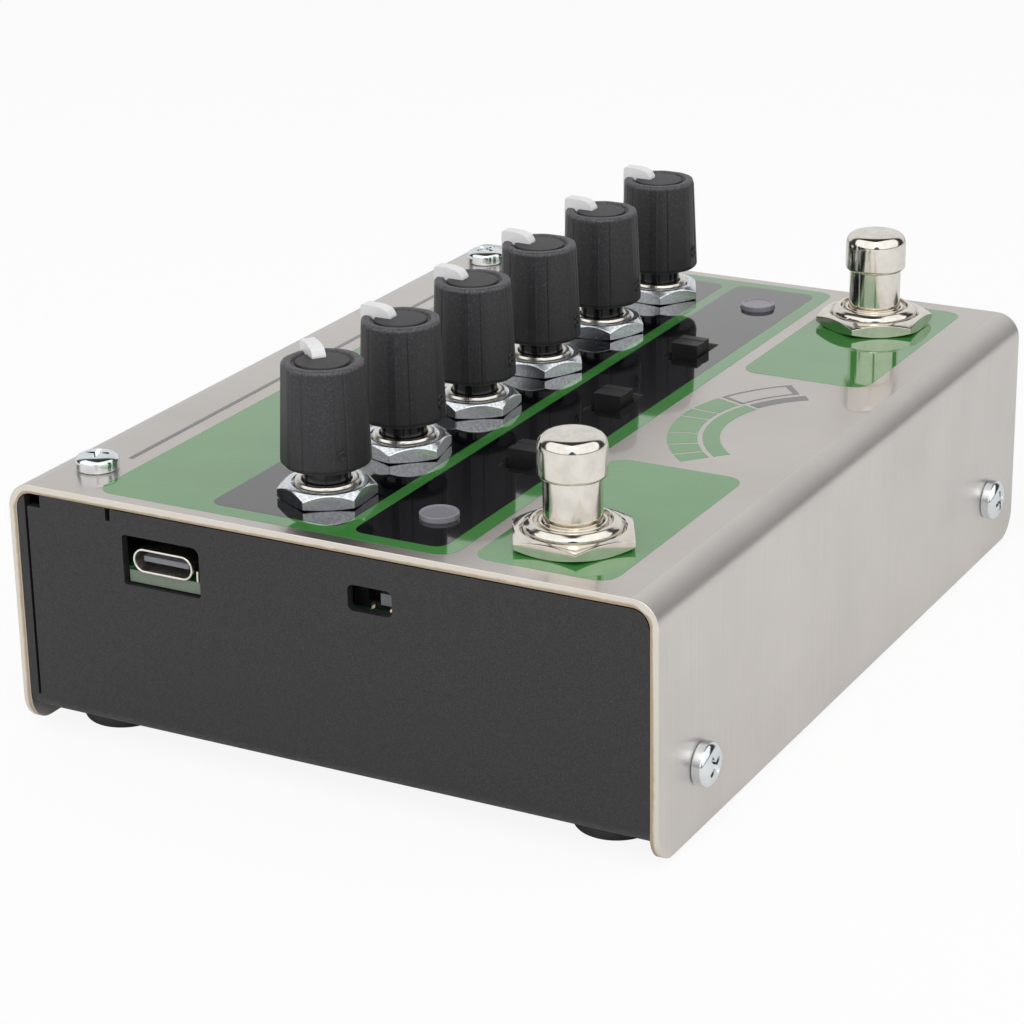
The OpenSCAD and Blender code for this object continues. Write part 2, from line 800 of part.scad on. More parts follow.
// The rounded upper end of a pan head
module pan_end() {
    rotate_extrude($fn = round_fn)
        intersection() {
            square([head_r, head_round]);
            union() {
                square([head_r - head_round, head_round]);
                translate([head_r - head_round, 0])
                    circle(r = head_round, $fn = round_fn);
            }
        }
}

module case_screws() {
    color("lightsteelblue")
        for (s = sides) {
            translate([s * top_screw_x, front_y + top_screw_y, top_z])
                case_screw();
            translate([s * front_screw_x, front_y, flange_z + front_screw_z])
                rotate([90, 0, 0])
                    case_screw();
        }
}

// A press nut, its tab above the XY plane and its body below
module press_nut() {
    difference() {
        union() {
            translate([0, 0, -press_nut_h])
                cylinder(r = press_nut_r, h = press_nut_h, $fn = round_fn);
            cylinder(r = press_neck_r, h = base_t, $fn = round_fn);
        }
        translate([0, 0, -press_nut_h - cut])
            cylinder(r = screw_r + thread_clear, h = press_nut_h + base_t + 2 * cut, $fn = round_fn);
    }
}

module press_nuts() {
    color("gray")
        for (s = sides) {
            translate([s * top_screw_x, front_y + top_screw_y, under_z - base_t])
                press_nut();
            translate([s * front_screw_x, tray_front_y + base_t, flange_z + front_screw_z])
                rotate([90, 0, 0])
                    press_nut();
        }
}

module main_board() {
    color("green") {
        translate([-board_x, front_y + board_front_y, board_under])
            cube([2 * board_x, board_rear_y - board_front_y, board_t]);
        translate([-usb_edge_x, front_y + usb_y - usb_tab_w / 2, board_under])
            cube([usb_edge_x, usb_tab_w, board_t]);
    }
}

module small_boards() {
    color("green")
        for (s = sides)
            translate([s * foot_switch_x, front_y + small_board_front_y, small_board_top - board_t])
                translate([-small_board_w / 2, 0, 0])
                    cube([small_board_w, small_board_rear_y - small_board_front_y, board_t]);
}

module board_headers() {
    color("black")
        for (s = sides)
            translate([s * foot_switch_x - header_len / 2, front_y + header_y - header_w / 2, small_board_top])
                cube([header_len, header_w, board_under - small_board_top]);
}

module board_chips() {
    small_chip_x = chip_x - (chip_w - small_chip_w) / 2;
    color("black") {
        translate([chip_x, front_y + chip_y, board_top])
            chip(chip_w);
        for (n = [1, 2])
            translate([small_chip_x - n * (small_chip_w + chip_gap), front_y + chip_y, board_top])
                chip(small_chip_w);
    }
}

// A square chip centred on its place
module chip(side) {
    translate([-side / 2, -side / 2, 0])
        cube([side, side, chip_h]);
}

module capacitors() {
    color("silver")
        for (n = [0:2])
            translate([chip_x + chip_w + n * cap_can_pitch, front_y + chip_y, board_top])
                cylinder(r = cap_can_r, h = cap_can_h, $fn = round_fn);
}

// A flat tube form lying along X, with half-round sides
module stadium(width, height, length) {
    for (s = sides)
        translate([0, s * (width - height) / 2, height / 2])
            rotate([0, 90, 0])
                cylinder(r = height / 2, h = length, $fn = round_fn);
    translate([0, -(width - height) / 2, 0])
        cube([length, width - height, height]);
}

module usb_shell() {
    color("silver")
        translate([-usb_edge_x - usb_out, front_y + usb_y, board_top])
            difference() {
                stadium(usb_w, usb_h, usb_len);
                translate([-cut, 0, usb_wall])
                    stadium(usb_w - 2 * usb_wall, usb_h - 2 * usb_wall, usb_len + 2 * cut);
            }
}

module usb_tongue() {
    inner_w = usb_w - 2 * usb_wall;
    inner_h = usb_h - 2 * usb_wall;
    color("darkslategray")
        translate([-usb_edge_x - usb_out, front_y + usb_y, board_top + usb_wall]) {
            translate([tongue_back, -tongue_w / 2, (inner_h - tongue_t) / 2])
                cube([usb_len - tongue_back - usb_block_t / 2, tongue_w, tongue_t]);
            translate([usb_len - usb_block_t, 0, 0])
                stadium(inner_w, inner_h, usb_block_t);
        }
}

// The outline of a knob's turned form
module knob_form() {
    rotate_extrude($fn = fine_fn)
        polygon([
            [0, 0],
            [knob_low_r - knob_bevel, 0],
            [knob_low_r, knob_bevel],
            [knob_top_r, knob_h - knob_bevel],
            [knob_top_r - knob_bevel, knob_h],
            [0, knob_h]
        ]);
}

module knob() {
    taper = atan((knob_low_r - knob_top_r) / knob_h);
    difference() {
        knob_form();
        // Flats that follow the taper
        for (n = [0:knob_flats - 1])
            rotate([0, 0, n * 360 / knob_flats])
                translate([knob_low_r * flat_share, 0, 0])
                    rotate([0, -taper, 0])
                        translate([0, -knob_low_r, -cut])
                            cube([knob_low_r, 2 * knob_low_r, knob_h + 2 * cut]);
        // Shaft bore
        translate([0, 0, -cut])
            cylinder(r = shaft_r + knob_fit, h = shaft_grip + cut + knob_bevel, $fn = round_fn);
        // Ring groove round the disc
        translate([0, 0, knob_h - disc_groove_h])
            difference() {
                cylinder(r = disc_r + disc_groove_w, h = disc_groove_h + cut, $fn = round_fn);
                translate([0, 0, -cut])
                    cylinder(r = disc_r, h = disc_groove_h + 3 * cut, $fn = round_fn);
            }
        // Slot for the pointer
        translate([-pointer_w / 2 - pointer_clear, pointer_in_r - pointer_clear, knob_h - pointer_seat_h])
            cube([pointer_w + 2 * pointer_clear, knob_low_r + cut, pointer_seat_h + cut]);
        translate([-pointer_w / 2 - pointer_clear, knob_top_r - pointer_side_t, knob_h - pointer_drop])
            cube([pointer_w + 2 * pointer_clear, pointer_side_t + cut, pointer_drop + cut]);
    }
}

// The white wedge that rises to the rim and turns down the side
module pointer() {
    outer = knob_top_r + pointer_out;
    translate([pointer_w / 2, 0, 0])
        rotate([90, 0, -90])
            linear_extrude(height = pointer_w)
                polygon([
                    [-pointer_in_r, knob_h - pointer_seat_h],
                    [-pointer_in_r, knob_h + pointer_proud * inner_proud_share],
                    [-knob_top_r + pointer_side_t, knob_h + pointer_proud],
                    [-outer + pointer_out, knob_h + pointer_proud],
                    [-outer, knob_h + pointer_proud * rim_share],
                    [-outer, knob_h - pointer_drop],
                    [-knob_top_r + pointer_side_t - pointer_clear, knob_h - pointer_drop],
                    [-knob_top_r + pointer_side_t - pointer_clear, knob_h - pointer_seat_h]
                ]);
}

// A shaft with its flat and its rotor, in the row's heights
module shaft() {
    rotor_z = board_top + pot_floor;
    top = knob_z + shaft_grip;
    difference() {
        translate([0, 0, rotor_z])
            cylinder(r = shaft_r, h = top - rotor_z, $fn = round_fn);
        translate([-shaft_r, shaft_r - shaft_flat, knob_z + knob_bevel])
            cube([2 * shaft_r, shaft_flat + cut, shaft_grip]);
    }
    translate([0, 0, rotor_z])
        cylinder(r = rotor_r, h = rotor_h, $fn = round_fn);
}

module placed_knob(i) {
    translate([knob_xs[i], front_y + knob_y, knob_z])
        rotate([0, 0, -knob_turns[i]])
            knob();
}

module placed_pointer(i) {
    translate([knob_xs[i], front_y + knob_y, knob_z])
        rotate([0, 0, -knob_turns[i]])
            pointer();
}

module placed_shaft(i) {
    translate([knob_xs[i], front_y + knob_y, 0])
        rotate([0, 0, -knob_turns[i]])
            shaft();
}

module knob_1() {
    color("black")
        placed_knob(0);
}

module knob_2() {
    color("black")
        placed_knob(1);
}
module knob_3() {
    color("black")
        placed_knob(2);
}

module knob_4() {
    color("black")
        placed_knob(3);
}
module knob_5() {
    color("black")
        placed_knob(4);
}

module knob_6() {
    color("black")
        placed_knob(5);
}
module pointer_1() {
    color("white")
        placed_pointer(0);
}

module pointer_2() {
    color("white")
        placed_pointer(1);
}
module pointer_3() {
    color("white")
        placed_pointer(2);
}

module pointer_4() {
    color("white")
        placed_pointer(3);
}
module pointer_5() {
    color("white")
        placed_pointer(4);
}

module pointer_6() {
    color("white")
        placed_pointer(5);
}
module shaft_1() {
    color("black")
        placed_shaft(0);
}

module shaft_2() {
    color("black")
        placed_shaft(1);
}
module shaft_3() {
    color("black")
        placed_shaft(2);
}

module shaft_4() {
    color("black")
        placed_shaft(3);
}
module shaft_5() {
    color("black")
        placed_shaft(4);
}

module shaft_6() {
    color("black")
        placed_shaft(5);
}

module pot_bodies() {
    height = board_drop - sheet_t - pot_plate_t;
    color("green")
        for (x = knob_xs)
            translate([x, front_y + knob_y, board_top])
                difference() {
                    translate([-pot_w / 2, -pot_d / 2, 0])
                        cube([pot_w, pot_d, height]);
                    translate([0, 0, pot_floor - rotor_gap])
                        cylinder(r = rotor_r + rotor_gap, h = height + cut, $fn = round_fn);
                }
}

module pot_bushings() {
    reach = sheet_t + bushing_rise;
    color("silver")
        for (x = knob_xs)
            translate([x, front_y + knob_y, under_z])
                difference() {
                    union() {
                        translate([-pot_w / 2, -pot_d / 2, -pot_plate_t])
                            cube([pot_w, pot_d, pot_plate_t]);
                        cylinder(r = bushing_r, h = reach, $fn = round_fn);
                    }
                    translate([0, 0, -pot_plate_t - cut])
                        cylinder(r = shaft_r + shaft_clear, h = pot_plate_t + reach + 2 * cut, $fn = round_fn);
                }
}

module pot_nuts() {
    color("lightsteelblue")
        for (i = [0:knob_count - 1])
            translate([knob_xs[i], front_y + knob_y, top_z])
                rotate([0, 0, pot_nut_degs[i]])
                    hex_nut(pot_nut_af, pot_nut_h, bushing_r + nut_clear, pot_nut_chamfer);
}

module footswitch_bodies() {
    color("royalblue")
        for (s = sides)
            translate([s * foot_switch_x, front_y + foot_switch_y, foot_body_low])
                difference() {
                    translate([-foot_body_w / 2, -foot_body_w / 2, 0])
                        cube([foot_body_w, foot_body_w, foot_body_h]);
                    translate([0, 0, foot_body_h - keeper_t - foot_travel - 2 * keeper_gap])
                        cylinder(r = keeper_r + keeper_gap, h = foot_body_h, $fn = round_fn);
                }
}

// A threaded bushing with a rounded, grooved end, on its square plate
module footswitch_bushing() {
    rise = sheet_t + foot_bushing_rise;
    r = foot_bushing_round;
    difference() {
        union() {
            translate([-foot_body_w / 2, -foot_body_w / 2, -foot_plate_t])
                cube([foot_body_w, foot_body_w, foot_plate_t]);
            cylinder(r = foot_bushing_r, h = rise - r, $fn = fine_fn);
            cylinder(r = foot_bushing_r - r, h = rise, $fn = fine_fn);
            translate([0, 0, rise - r])
                rotate_extrude($fn = fine_fn)
                    translate([foot_bushing_r - r, 0])
                        intersection() {
                            circle(r = r, $fn = round_fn);
                            square([r, r]);
                        }
        }
        translate([0, 0, -foot_plate_t - cut])
            cylinder(r = neck_r + neck_clear, h = foot_plate_t + rise + 2 * cut, $fn = fine_fn);
        translate([0, 0, rise - foot_groove_h])
            difference() {
                cylinder(r = foot_groove_r + foot_groove_w, h = foot_groove_h + cut, $fn = fine_fn);
                translate([0, 0, -cut])
                    cylinder(r = foot_groove_r, h = foot_groove_h + 3 * cut, $fn = fine_fn);
            }
    }
}

module footswitch_bushings() {
    color("silver")
        for (s = sides)
            translate([s * foot_switch_x, front_y + foot_switch_y, under_z])
                footswitch_bushing();
}

module footswitch_nuts() {
    turns = [left_nut_deg, right_nut_deg];
    color("silver")
        for (n = [0, 1])
            translate([sides[n] * foot_switch_x, front_y + foot_switch_y, top_z])
                rotate([0, 0, turns[n]])
                    hex_nut(foot_nut_af, foot_nut_h, foot_bushing_r + nut_clear, foot_nut_chamfer);
}

module footswitch_lugs() {
    color("gold")
        for (s = sides, t = sides)
            translate([s * foot_switch_x + t * lug_pitch / 2, front_y + foot_switch_y, small_board_top])
                translate([-lug_t / 2, -lug_w / 2, 0])
                    cube([lug_t, lug_w, lug_len]);
}

// A plunger with its cap, neck and keeper flange, in the row's heights
module plunger() {
    keeper_top = foot_body_top - keeper_gap;
    cap_z = top_z + cap_rise;
    translate([0, 0, keeper_top - keeper_t])
        cylinder(r = keeper_r, h = keeper_t, $fn = fine_fn);
    translate([0, 0, keeper_top - keeper_t])
        cylinder(r = neck_r, h = cap_z + cap_under - keeper_top + keeper_t, $fn = fine_fn);
    translate([0, 0, cap_z])
        rotate_extrude($fn = fine_fn)
            union() {
                polygon([
                    [0, 0],
                    [cap_r - cap_under, 0],
                    [cap_r, cap_under],
                    [cap_r, cap_h - cap_round],
                    [0, cap_h - cap_round]
                ]);
                square([cap_r - cap_round, cap_h]);
                translate([cap_r - cap_round, cap_h - cap_round])
                    intersection() {
                        circle(r = cap_round, $fn = round_fn);
                        square([cap_round, cap_round]);
                    }
            }
}

module placed_plunger(s) {
    color("silver")
        translate([s * foot_switch_x, front_y + foot_switch_y, 0])
            plunger();
}

module plunger_1() {
    placed_plunger(-1);
}

module plunger_2() {
    placed_plunger(1);
}

module slide_bases() {
    color("sienna")
        for (x = slide_xs)
            translate([x - frame_len / 2, front_y + slide_y - frame_w / 2, board_top])
                cube([frame_len, frame_w, slide_base_h]);
}

module slide_frames() {
    inner_l = frame_len - 2 * frame_t;
    inner_w = frame_w - 2 * frame_t;
    color("silver")
        for (x = slide_xs)
            translate([x, front_y + slide_y, slide_base_top])
                difference() {
                    translate([-frame_len / 2, -frame_w / 2, 0])
                        cube([frame_len, frame_w, frame_h]);
                    translate([-inner_l / 2, -inner_w / 2, -cut])
                        cube([inner_l, inner_w, frame_h - frame_t + cut]);
                    translate([-slot_len / 2, -slot_w / 2, 0])
                        cube([slot_len, slot_w, frame_h + cut]);
                }
}

// A lever with cross ribs on its end, over the carrier in the frame
module slider() {
    low = slide_base_top + carrier_gap;
    rib = lever_w / (2 * lever_ribs - 1);
    translate([-carrier_len / 2, -carrier_w / 2, low])
        cube([carrier_len, carrier_w, carrier_h]);
    translate([-lever_w / 2, -lever_w / 2, low])
        cube([lever_w, lever_w, top_z + lever_rise - lever_rib_h - low]);
    for (n = [0:lever_ribs - 1])
        translate([-lever_w / 2 + 2 * n * rib, -lever_w / 2, low])
            cube([rib, lever_w, top_z + lever_rise - low]);
}

module placed_slider(i) {
    color("black")
        translate([slide_xs[i], front_y + slide_y, 0])
            slider();
}

module slider_1() {
    placed_slider(0);
}

module slider_2() {
    placed_slider(1);
}
module slider_3() {
    placed_slider(2);
}

module led_lenses() {
    low = board_top + led_spacer_h;
    dome = led_rise;
    color("white", 0.6)
        for (s = sides)
            translate([s * led_x, front_y + led_y, low]) {
                cylinder(r = led_rim_r, h = led_rim_h, $fn = round_fn);
                cylinder(r = led_r, h = top_z - low, $fn = round_fn);
                translate([0, 0, top_z - low])
                    cylinder(r1 = led_r, r2 = led_r - dome, h = dome, $fn = round_fn);
            }
}

module led_spacers() {
    color("black")
        for (s = sides)
            translate([s * led_x, front_y + led_y, board_top])
                cylinder(r = led_rim_r, h = led_spacer_h, $fn = round_fn);
}

module side_switch_body() {
    back = -board_x + side_body_back;
    slot_h = actuator_w + 2 * actuator_gap;
    color("black")
        translate([back, front_y + side_window_y, board_top])
            difference() {
                translate([0, -side_body_len / 2, 0])
                    cube([side_body_d, side_body_len, side_body_h]);
                translate([-cut, -actuator_start - slot_h / 2, actuator_z - slot_h / 2])
                    cube([actuator_in + actuator_gap + cut, slot_h + side_travel, slot_h]);
            }
}

module side_switch_actuator() {
    back = -board_x + side_body_back;
    color("gray")
        translate([back - actuator_out, front_y + side_window_y - actuator_start, board_top + actuator_z])
            translate([0, -actuator_w / 2, -actuator_w / 2])
                cube([actuator_out + actuator_in, actuator_w, actuator_w]);
}

module side_switch_legs() {
    back = -board_x + side_body_back;
    color("gold")
        for (t = sides)
            translate([back - leg_reach, front_y + side_window_y + t * leg_pitch / 2 - leg_w / 2, board_top]) {
                cube([leg_reach, leg_w, leg_t]);
                translate([leg_reach - leg_t, 0, 0])
                    cube([leg_t, leg_w, leg_h]);
            }
}

module jack_bodies() {
    height = board_under - jack_low_z;
    color("black")
        for (s = sides)
            translate([s * jack_x, jack_face_y, jack_axis_z])
                difference() {
                    translate([-jack_w / 2, -jack_d, -height / 2])
                        cube([jack_w, jack_d, height]);
                    translate([0, -jack_d + jack_end, 0])
                        rotate([-90, 0, 0])
                            cylinder(r = jack_bore_r, h = jack_d + cut, $fn = round_fn);
                }
}

module jack_bushings() {
    reach = sheet_t + jack_rise;
    color("silver")
        for (s = sides)
            translate([s * jack_x, jack_face_y, jack_axis_z])
                rotate([-90, 0, 0])
                    difference() {
                        cylinder(r = jack_bushing_r, h = reach, $fn = round_fn);
                        translate([0, 0, -cut])
                            cylinder(r = jack_bore_r, h = reach + 2 * cut, $fn = round_fn);
                    }
}

module jack_washers() {
    color("silver")
        for (s = sides)
            translate([s * jack_x, rear_y, jack_axis_z])
                rotate([-90, 0, 0])
                    difference() {
                        cylinder(r = jack_washer_r, h = jack_washer_t, $fn = round_fn);
                        translate([0, 0, -cut])
                            cylinder(r = jack_bushing_r + nut_clear, h = jack_washer_t + 2 * cut, $fn = round_fn);
                    }
}

module jack_nuts() {
    color("silver")
        for (s = sides)
            translate([s * jack_x, rear_y + jack_washer_t, jack_axis_z])
                rotate([-90, 0, 0])
                    hex_nut(jack_nut_af, jack_nut_h, jack_bushing_r + nut_clear, jack_nut_chamfer);
}

module dc_jack_body() {
    color("black")
        translate([0, jack_face_y, jack_axis_z])
            difference() {
                translate([-dc_w / 2, -dc_d, -dc_h / 2])
                    cube([dc_w, dc_d, board_under - jack_axis_z + dc_h / 2]);
                translate([0, -dc_socket_d, 0])
                    rotate([-90, 0, 0])
                        cylinder(r = dc_socket_r, h = dc_socket_d + cut, $fn = round_fn);
            }
}

module dc_jack_pin() {
    color("gold")
        translate([0, jack_face_y - dc_socket_d, jack_axis_z])
            rotate([-90, 0, 0])
                cylinder(r = dc_pin_r, h = dc_socket_d - dc_pin_back, $fn = round_fn);
}

cover();
base();
feet();
case_screws();
press_nuts();
main_board();
small_boards();
board_headers();
board_chips();
capacitors();
usb_shell();
usb_tongue();
knob_1();
knob_2();
knob_3();
knob_4();
knob_5();
knob_6();
pointer_1();
pointer_2();
pointer_3();
pointer_4();
pointer_5();
pointer_6();
shaft_1();
shaft_2();
shaft_3();
shaft_4();
shaft_5();
shaft_6();
pot_bodies();
pot_bushings();
pot_nuts();
footswitch_bodies();
footswitch_bushings();
footswitch_nuts();
footswitch_lugs();
plunger_1();
plunger_2();
slide_frames();
slide_bases();
slider_1();
slider_2();
slider_3();
led_lenses();
led_spacers();
side_switch_body();
side_switch_legs();
side_switch_actuator();
jack_bodies();
jack_bushings();
jack_washers();
jack_nuts();
dc_jack_body();
dc_jack_pin();
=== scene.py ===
"""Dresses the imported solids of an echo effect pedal: forms, finishes, studio and camera."""

import json
import logging
import math
from dataclasses import dataclass
from enum import Enum
from functools import cache, reduce
from typing import Callable, Iterable, Optional, Sequence

import bmesh
import bpy
import numpy as np
from mathutils import Matrix, Vector
from mathutils.geometry import delaunay_2d_cdt

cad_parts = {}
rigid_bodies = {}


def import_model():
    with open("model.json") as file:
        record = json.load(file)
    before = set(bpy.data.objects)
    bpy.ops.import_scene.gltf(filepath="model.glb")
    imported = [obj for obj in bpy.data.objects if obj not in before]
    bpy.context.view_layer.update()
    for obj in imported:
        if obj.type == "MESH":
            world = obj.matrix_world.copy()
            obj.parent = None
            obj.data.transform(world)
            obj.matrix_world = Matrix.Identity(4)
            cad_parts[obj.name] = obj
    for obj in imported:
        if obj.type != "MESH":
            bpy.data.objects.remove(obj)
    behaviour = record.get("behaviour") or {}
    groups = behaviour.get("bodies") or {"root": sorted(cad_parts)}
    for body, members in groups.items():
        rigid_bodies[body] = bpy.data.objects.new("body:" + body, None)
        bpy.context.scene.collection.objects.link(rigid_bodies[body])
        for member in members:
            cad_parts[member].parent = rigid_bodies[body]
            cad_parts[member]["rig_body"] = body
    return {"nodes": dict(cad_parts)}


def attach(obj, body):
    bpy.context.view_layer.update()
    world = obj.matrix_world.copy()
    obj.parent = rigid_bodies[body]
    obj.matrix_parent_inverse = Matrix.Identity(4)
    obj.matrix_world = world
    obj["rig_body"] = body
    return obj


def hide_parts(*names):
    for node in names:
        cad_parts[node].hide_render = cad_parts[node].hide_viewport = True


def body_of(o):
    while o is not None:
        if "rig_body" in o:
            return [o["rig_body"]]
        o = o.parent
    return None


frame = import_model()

log = logging.getLogger("pedal")

# Millimetres of the row frame
MM = 0.001
TOP = 34.5
UNDER = 33.3
FRONT = -47.25
REAR = 44.75
KNOB_XS = (-47.75, -28.65, -9.55, 9.55, 28.65, 47.75)
KNOB_Y = 5.05
KNOB_TURNS = (-38.0, 0.0, 0.0, 0.0, 0.0, 0.0)
SLIDE_XS = (-24.4, 0.0, 24.4)
SLIDE_Y = -11.1
FOOT_XS = (-47.9, 47.9)
FOOT_Y = -29.55

Colour = tuple[float, float, float]
Point = tuple[float, float, float]
Pair = tuple[float, float]
Box = tuple[float, float, float, float]
Array = np.ndarray
Node = bpy.types.Node
Marker = Callable[[Array], Array]


class Body(str, Enum):
    """The bodies that new pieces ride on; all but the housing are numbered."""

    HOUSING = "housing"
    KNOB = "knob"
    PLUNGER = "plunger"
    SLIDER = "slider"

    def numbered(self, number: int) -> str:
        """The body's name with its number."""
        return f"{self.value}_{number}"


class Slot(str, Enum):
    """The record's material slots."""

    STEEL = "steel"
    POWDER_COAT = "powder_coat"
    RUBBER = "rubber"
    ZINC = "zinc"
    NICKEL = "bright_nickel"
    SOFT_TOUCH = "soft_touch"
    WHITE = "white_plastic"
    BLACK = "black_plastic"
    GREY = "grey_plastic"
    BLUE = "blue_plastic"
    PHENOLIC = "brown_phenolic"
    LENS = "clear_lens"
    BOARD = "board_green"
    TINNED = "tinned_brass"
    CAN = "can_aluminium"


class Grain(Enum):
    """The way brushed marks run, as the noise scale along X, Y and Z per metre."""

    ALONG_Y = (9000.0, 55.0, 9000.0)
    ALONG_Z = (9000.0, 9000.0, 55.0)
    TURNED = (2500.0, 2500.0, 16000.0)


# Finishes


class Nodes:
    """A node tree, emptied and then filled node by node."""

    def __init__(self, owner: bpy.types.Material | bpy.types.World) -> None:
        """Empties the tree of a material or a world.

        Args:
            owner: the material or world.
        """
        owner.use_nodes = True
        self.tree = owner.node_tree
        self.tree.nodes.clear()

    def feed(self, node: Node, socket: str | int, value: object) -> None:
        """Gives an input a constant, or links it to a node's output.

        Args:
            node: the node.
            socket: the input's name or place.
            value: a constant, a node for its first output, or a node and an output.
        """
        if isinstance(value, Node):
            value = (value, 0)
        if isinstance(value, tuple) and isinstance(value[0], Node):
            self.tree.links.new(value[0].outputs[value[1]], node.inputs[socket])
        else:
            node.inputs[socket].default_value = value

    def add(self, kind: str, inputs: Optional[dict] = None, **settings: object) -> Node:
        """Adds a node.

        Args:
            kind: Blender's name of the node type.
            inputs: what feeds its sockets, by name or place.
            settings: values for its own properties.

        Returns:
            The new node.
        """
        node = self.tree.nodes.new(kind)
        for key, value in settings.items():
            setattr(node, key, value)
        for key, value in (inputs or {}).items():
            self.feed(node, key, value)
        return node


class Recipe(Nodes):
    """The nodes of one material round a Principled shader."""

    def __init__(self, name: str) -> None:
        """Starts a material with its shader and output.

        Args:
            name: the material's name.
        """
        self.material = bpy.data.materials.new(name)
        super().__init__(self.material)
        self.shader = self.add("ShaderNodeBsdfPrincipled")
        self.output = self.add("ShaderNodeOutputMaterial", {"Surface": self.shader})

    def base(self, **values: object) -> None:
        """Feeds the shader's own sockets, underscores standing for spaces."""
        for key, value in values.items():
            self.feed(self.shader, key.replace("_", " "), value)

    def noise(self, scale: float | Point, detail: float, rough: float) -> Node:
        """A noise on Object coordinates.

        Args:
            scale: how often it changes per metre, the same all round or along X, Y and Z.
            detail: octaves of the noise.
            rough: how much the fine octaves count.

        Returns:
            The noise node, whose first output is its value.
        """
        size = (scale,) * 3 if isinstance(scale, float) else scale
        place = (self.add("ShaderNodeTexCoord"), "Object")
        stretch = self.add("ShaderNodeMapping", {"Vector": place, "Scale": size})
        return self.add("ShaderNodeTexNoise", {"Vector": stretch, "Scale": 1.0, "Detail": detail,
                                               "Roughness": rough})

    def mark(self) -> tuple[Node, str]:
        """The piece's mark attribute."""
        return self.add("ShaderNodeAttribute", attribute_name="mark"), "Fac"

    def spread(self, source: Node, low: float = 0.0, high: float = 1.0, near: float = 0.3,
               far: float = 0.7) -> Node:
        """A value moved from near..far to low..high."""
        return self.add("ShaderNodeMapRange", {"Value": source, "From Min": near, "From Max": far,
                                               "To Min": low, "To Max": high})

    def sum(self, scaled: object, factor: object, other: object, clamp: bool = False) -> Node:
        """One value times another, plus a third."""
        return self.add("ShaderNodeMath", {0: scaled, 1: factor, 2: other}, operation="MULTIPLY_ADD",
                        use_clamp=clamp)

    def tint(self, share: Node, first: Colour, second: Colour) -> None:
        """Gives the shader a base colour between two linear ones, the first where the share is 0."""
        sockets = {0: share, 6: (*first, 1.0), 7: (*second, 1.0)}
        self.base(Base_Color=(self.add("ShaderNodeMix", sockets, data_type="RGBA"), 2))

    def roughen(self, source: Node, low: float, high: float, near: float = 0.3,
                far: float = 0.7) -> None:
        """Gives the shader a roughness of low to high as the source goes from near to far."""
        self.base(Roughness=self.spread(source, low, high, near, far))

    def bump(self, source: Node, strength: float, depth: float, under: Optional[Node] = None) -> Node:
        """A bump from a height, joined to the shader.

        Args:
            source: the node whose first output is the height.
            strength: how much of the bump counts.
            depth: the height's size in millimetres.
            under: a bump that this one lies on.

        Returns:
            The Bump node.
        """
        sockets = {"Strength": strength, "Distance": depth * MM, "Height": source}
        relief = self.add("ShaderNodeBump", sockets | ({"Normal": under} if under else {}))
        self.base(Normal=relief)
        return relief


@dataclass(frozen=True)
class Finish:
    """A named finish; each kind paints its own nodes."""

    name: str
    colour: Colour

    def paint(self, r: Recipe) -> None:
        """Fills in the material's nodes."""
        raise NotImplementedError(self.name)

    def build(self) -> bpy.types.Material:
        """Paints the finish.

        Returns:
            Its material.
        """
        r = Recipe(self.name)
        self.paint(r)
        return r.material

    def tones(self, low: float, high: float) -> tuple[Colour, Colour]:
        """The colour times two factors, kept within 0 and 1."""
        return tuple(tuple(min(1.0, c * factor) for c in self.colour) for factor in (low, high))


@dataclass(frozen=True)
class BrushedSteel(Finish):
    """Stainless sheet with long hairlines, bare or under a clear lacquer."""

    grain: Grain
    roughness: float
    lacquer: float = 0.0
    anisotropy: float = 0.45
    clouds: Point = (60.0, 30.0, 60.0)

    def paint(self, r: Recipe) -> None:
        """Hairline noise changes colour, roughness and bump; a slow noise clouds the sheet.

        Args:
            r: the material's nodes.
        """
        r.base(Metallic=1.0, Anisotropic=self.anisotropy, Coat_Weight=self.lacquer,
               Coat_Roughness=0.03, Coat_IOR=1.5)
        hair = r.noise(self.grain.value, 5.0, 0.65)
        tone = r.spread(r.sum(r.noise(self.clouds, 3.0, 0.5), 0.7, hair), near=0.58, far=1.14)
        r.tint(tone, *self.tones(0.9, 1.07))
        r.roughen(hair, self.roughness * 0.85, self.roughness * 1.15)
        r.bump(hair, 0.25, 0.004)


@dataclass(frozen=True)
class PowderCoat(Finish):
    """Baked powder paint with a fine mottled skin."""

    roughness: float = 0.42
    peel: float = 1300.0
    grit: float = 5200.0

    def paint(self, r: Recipe) -> None:
        """Two noises, orange peel and fine grit, make the skin; grit also lightens the colour.

        Args:
            r: the material's nodes.
        """
        r.base(IOR=1.5, Specular_IOR_Level=0.5)
        peel, grit = r.noise(self.peel, 2.0, 0.5), r.noise(self.grit, 3.0, 0.7)
        r.tint(r.spread(grit, near=0.44, far=0.68), *self.tones(0.7, 1.85))
        r.roughen(peel, self.roughness - 0.06, self.roughness + 0.1)
        r.bump(grit, 0.4, 0.02, r.bump(peel, 0.5, 0.08))


@dataclass(frozen=True)
class Ink(Finish):
    """A glossy printed film under clear lacquer."""

    lacquer: float = 0.9
    clouds: Point = (140.0, 90.0, 140.0)

    def paint(self, r: Recipe) -> None:
        """A flat ink with a slow change of tone and a trace of the sheet's hairlines.

        Args:
            r: the material's nodes.
        """
        r.base(IOR=1.5, Specular_IOR_Level=0.28, Coat_Weight=self.lacquer, Coat_Roughness=0.03,
               Coat_IOR=1.5)
        r.tint(r.spread(r.noise(self.clouds, 3.0, 0.5)), *self.tones(0.94, 1.06))
        hair = r.noise(Grain.ALONG_Y.value, 3.0, 0.6)
        r.roughen(hair, 0.05, 0.1)
        r.bump(hair, 0.06, 0.003)


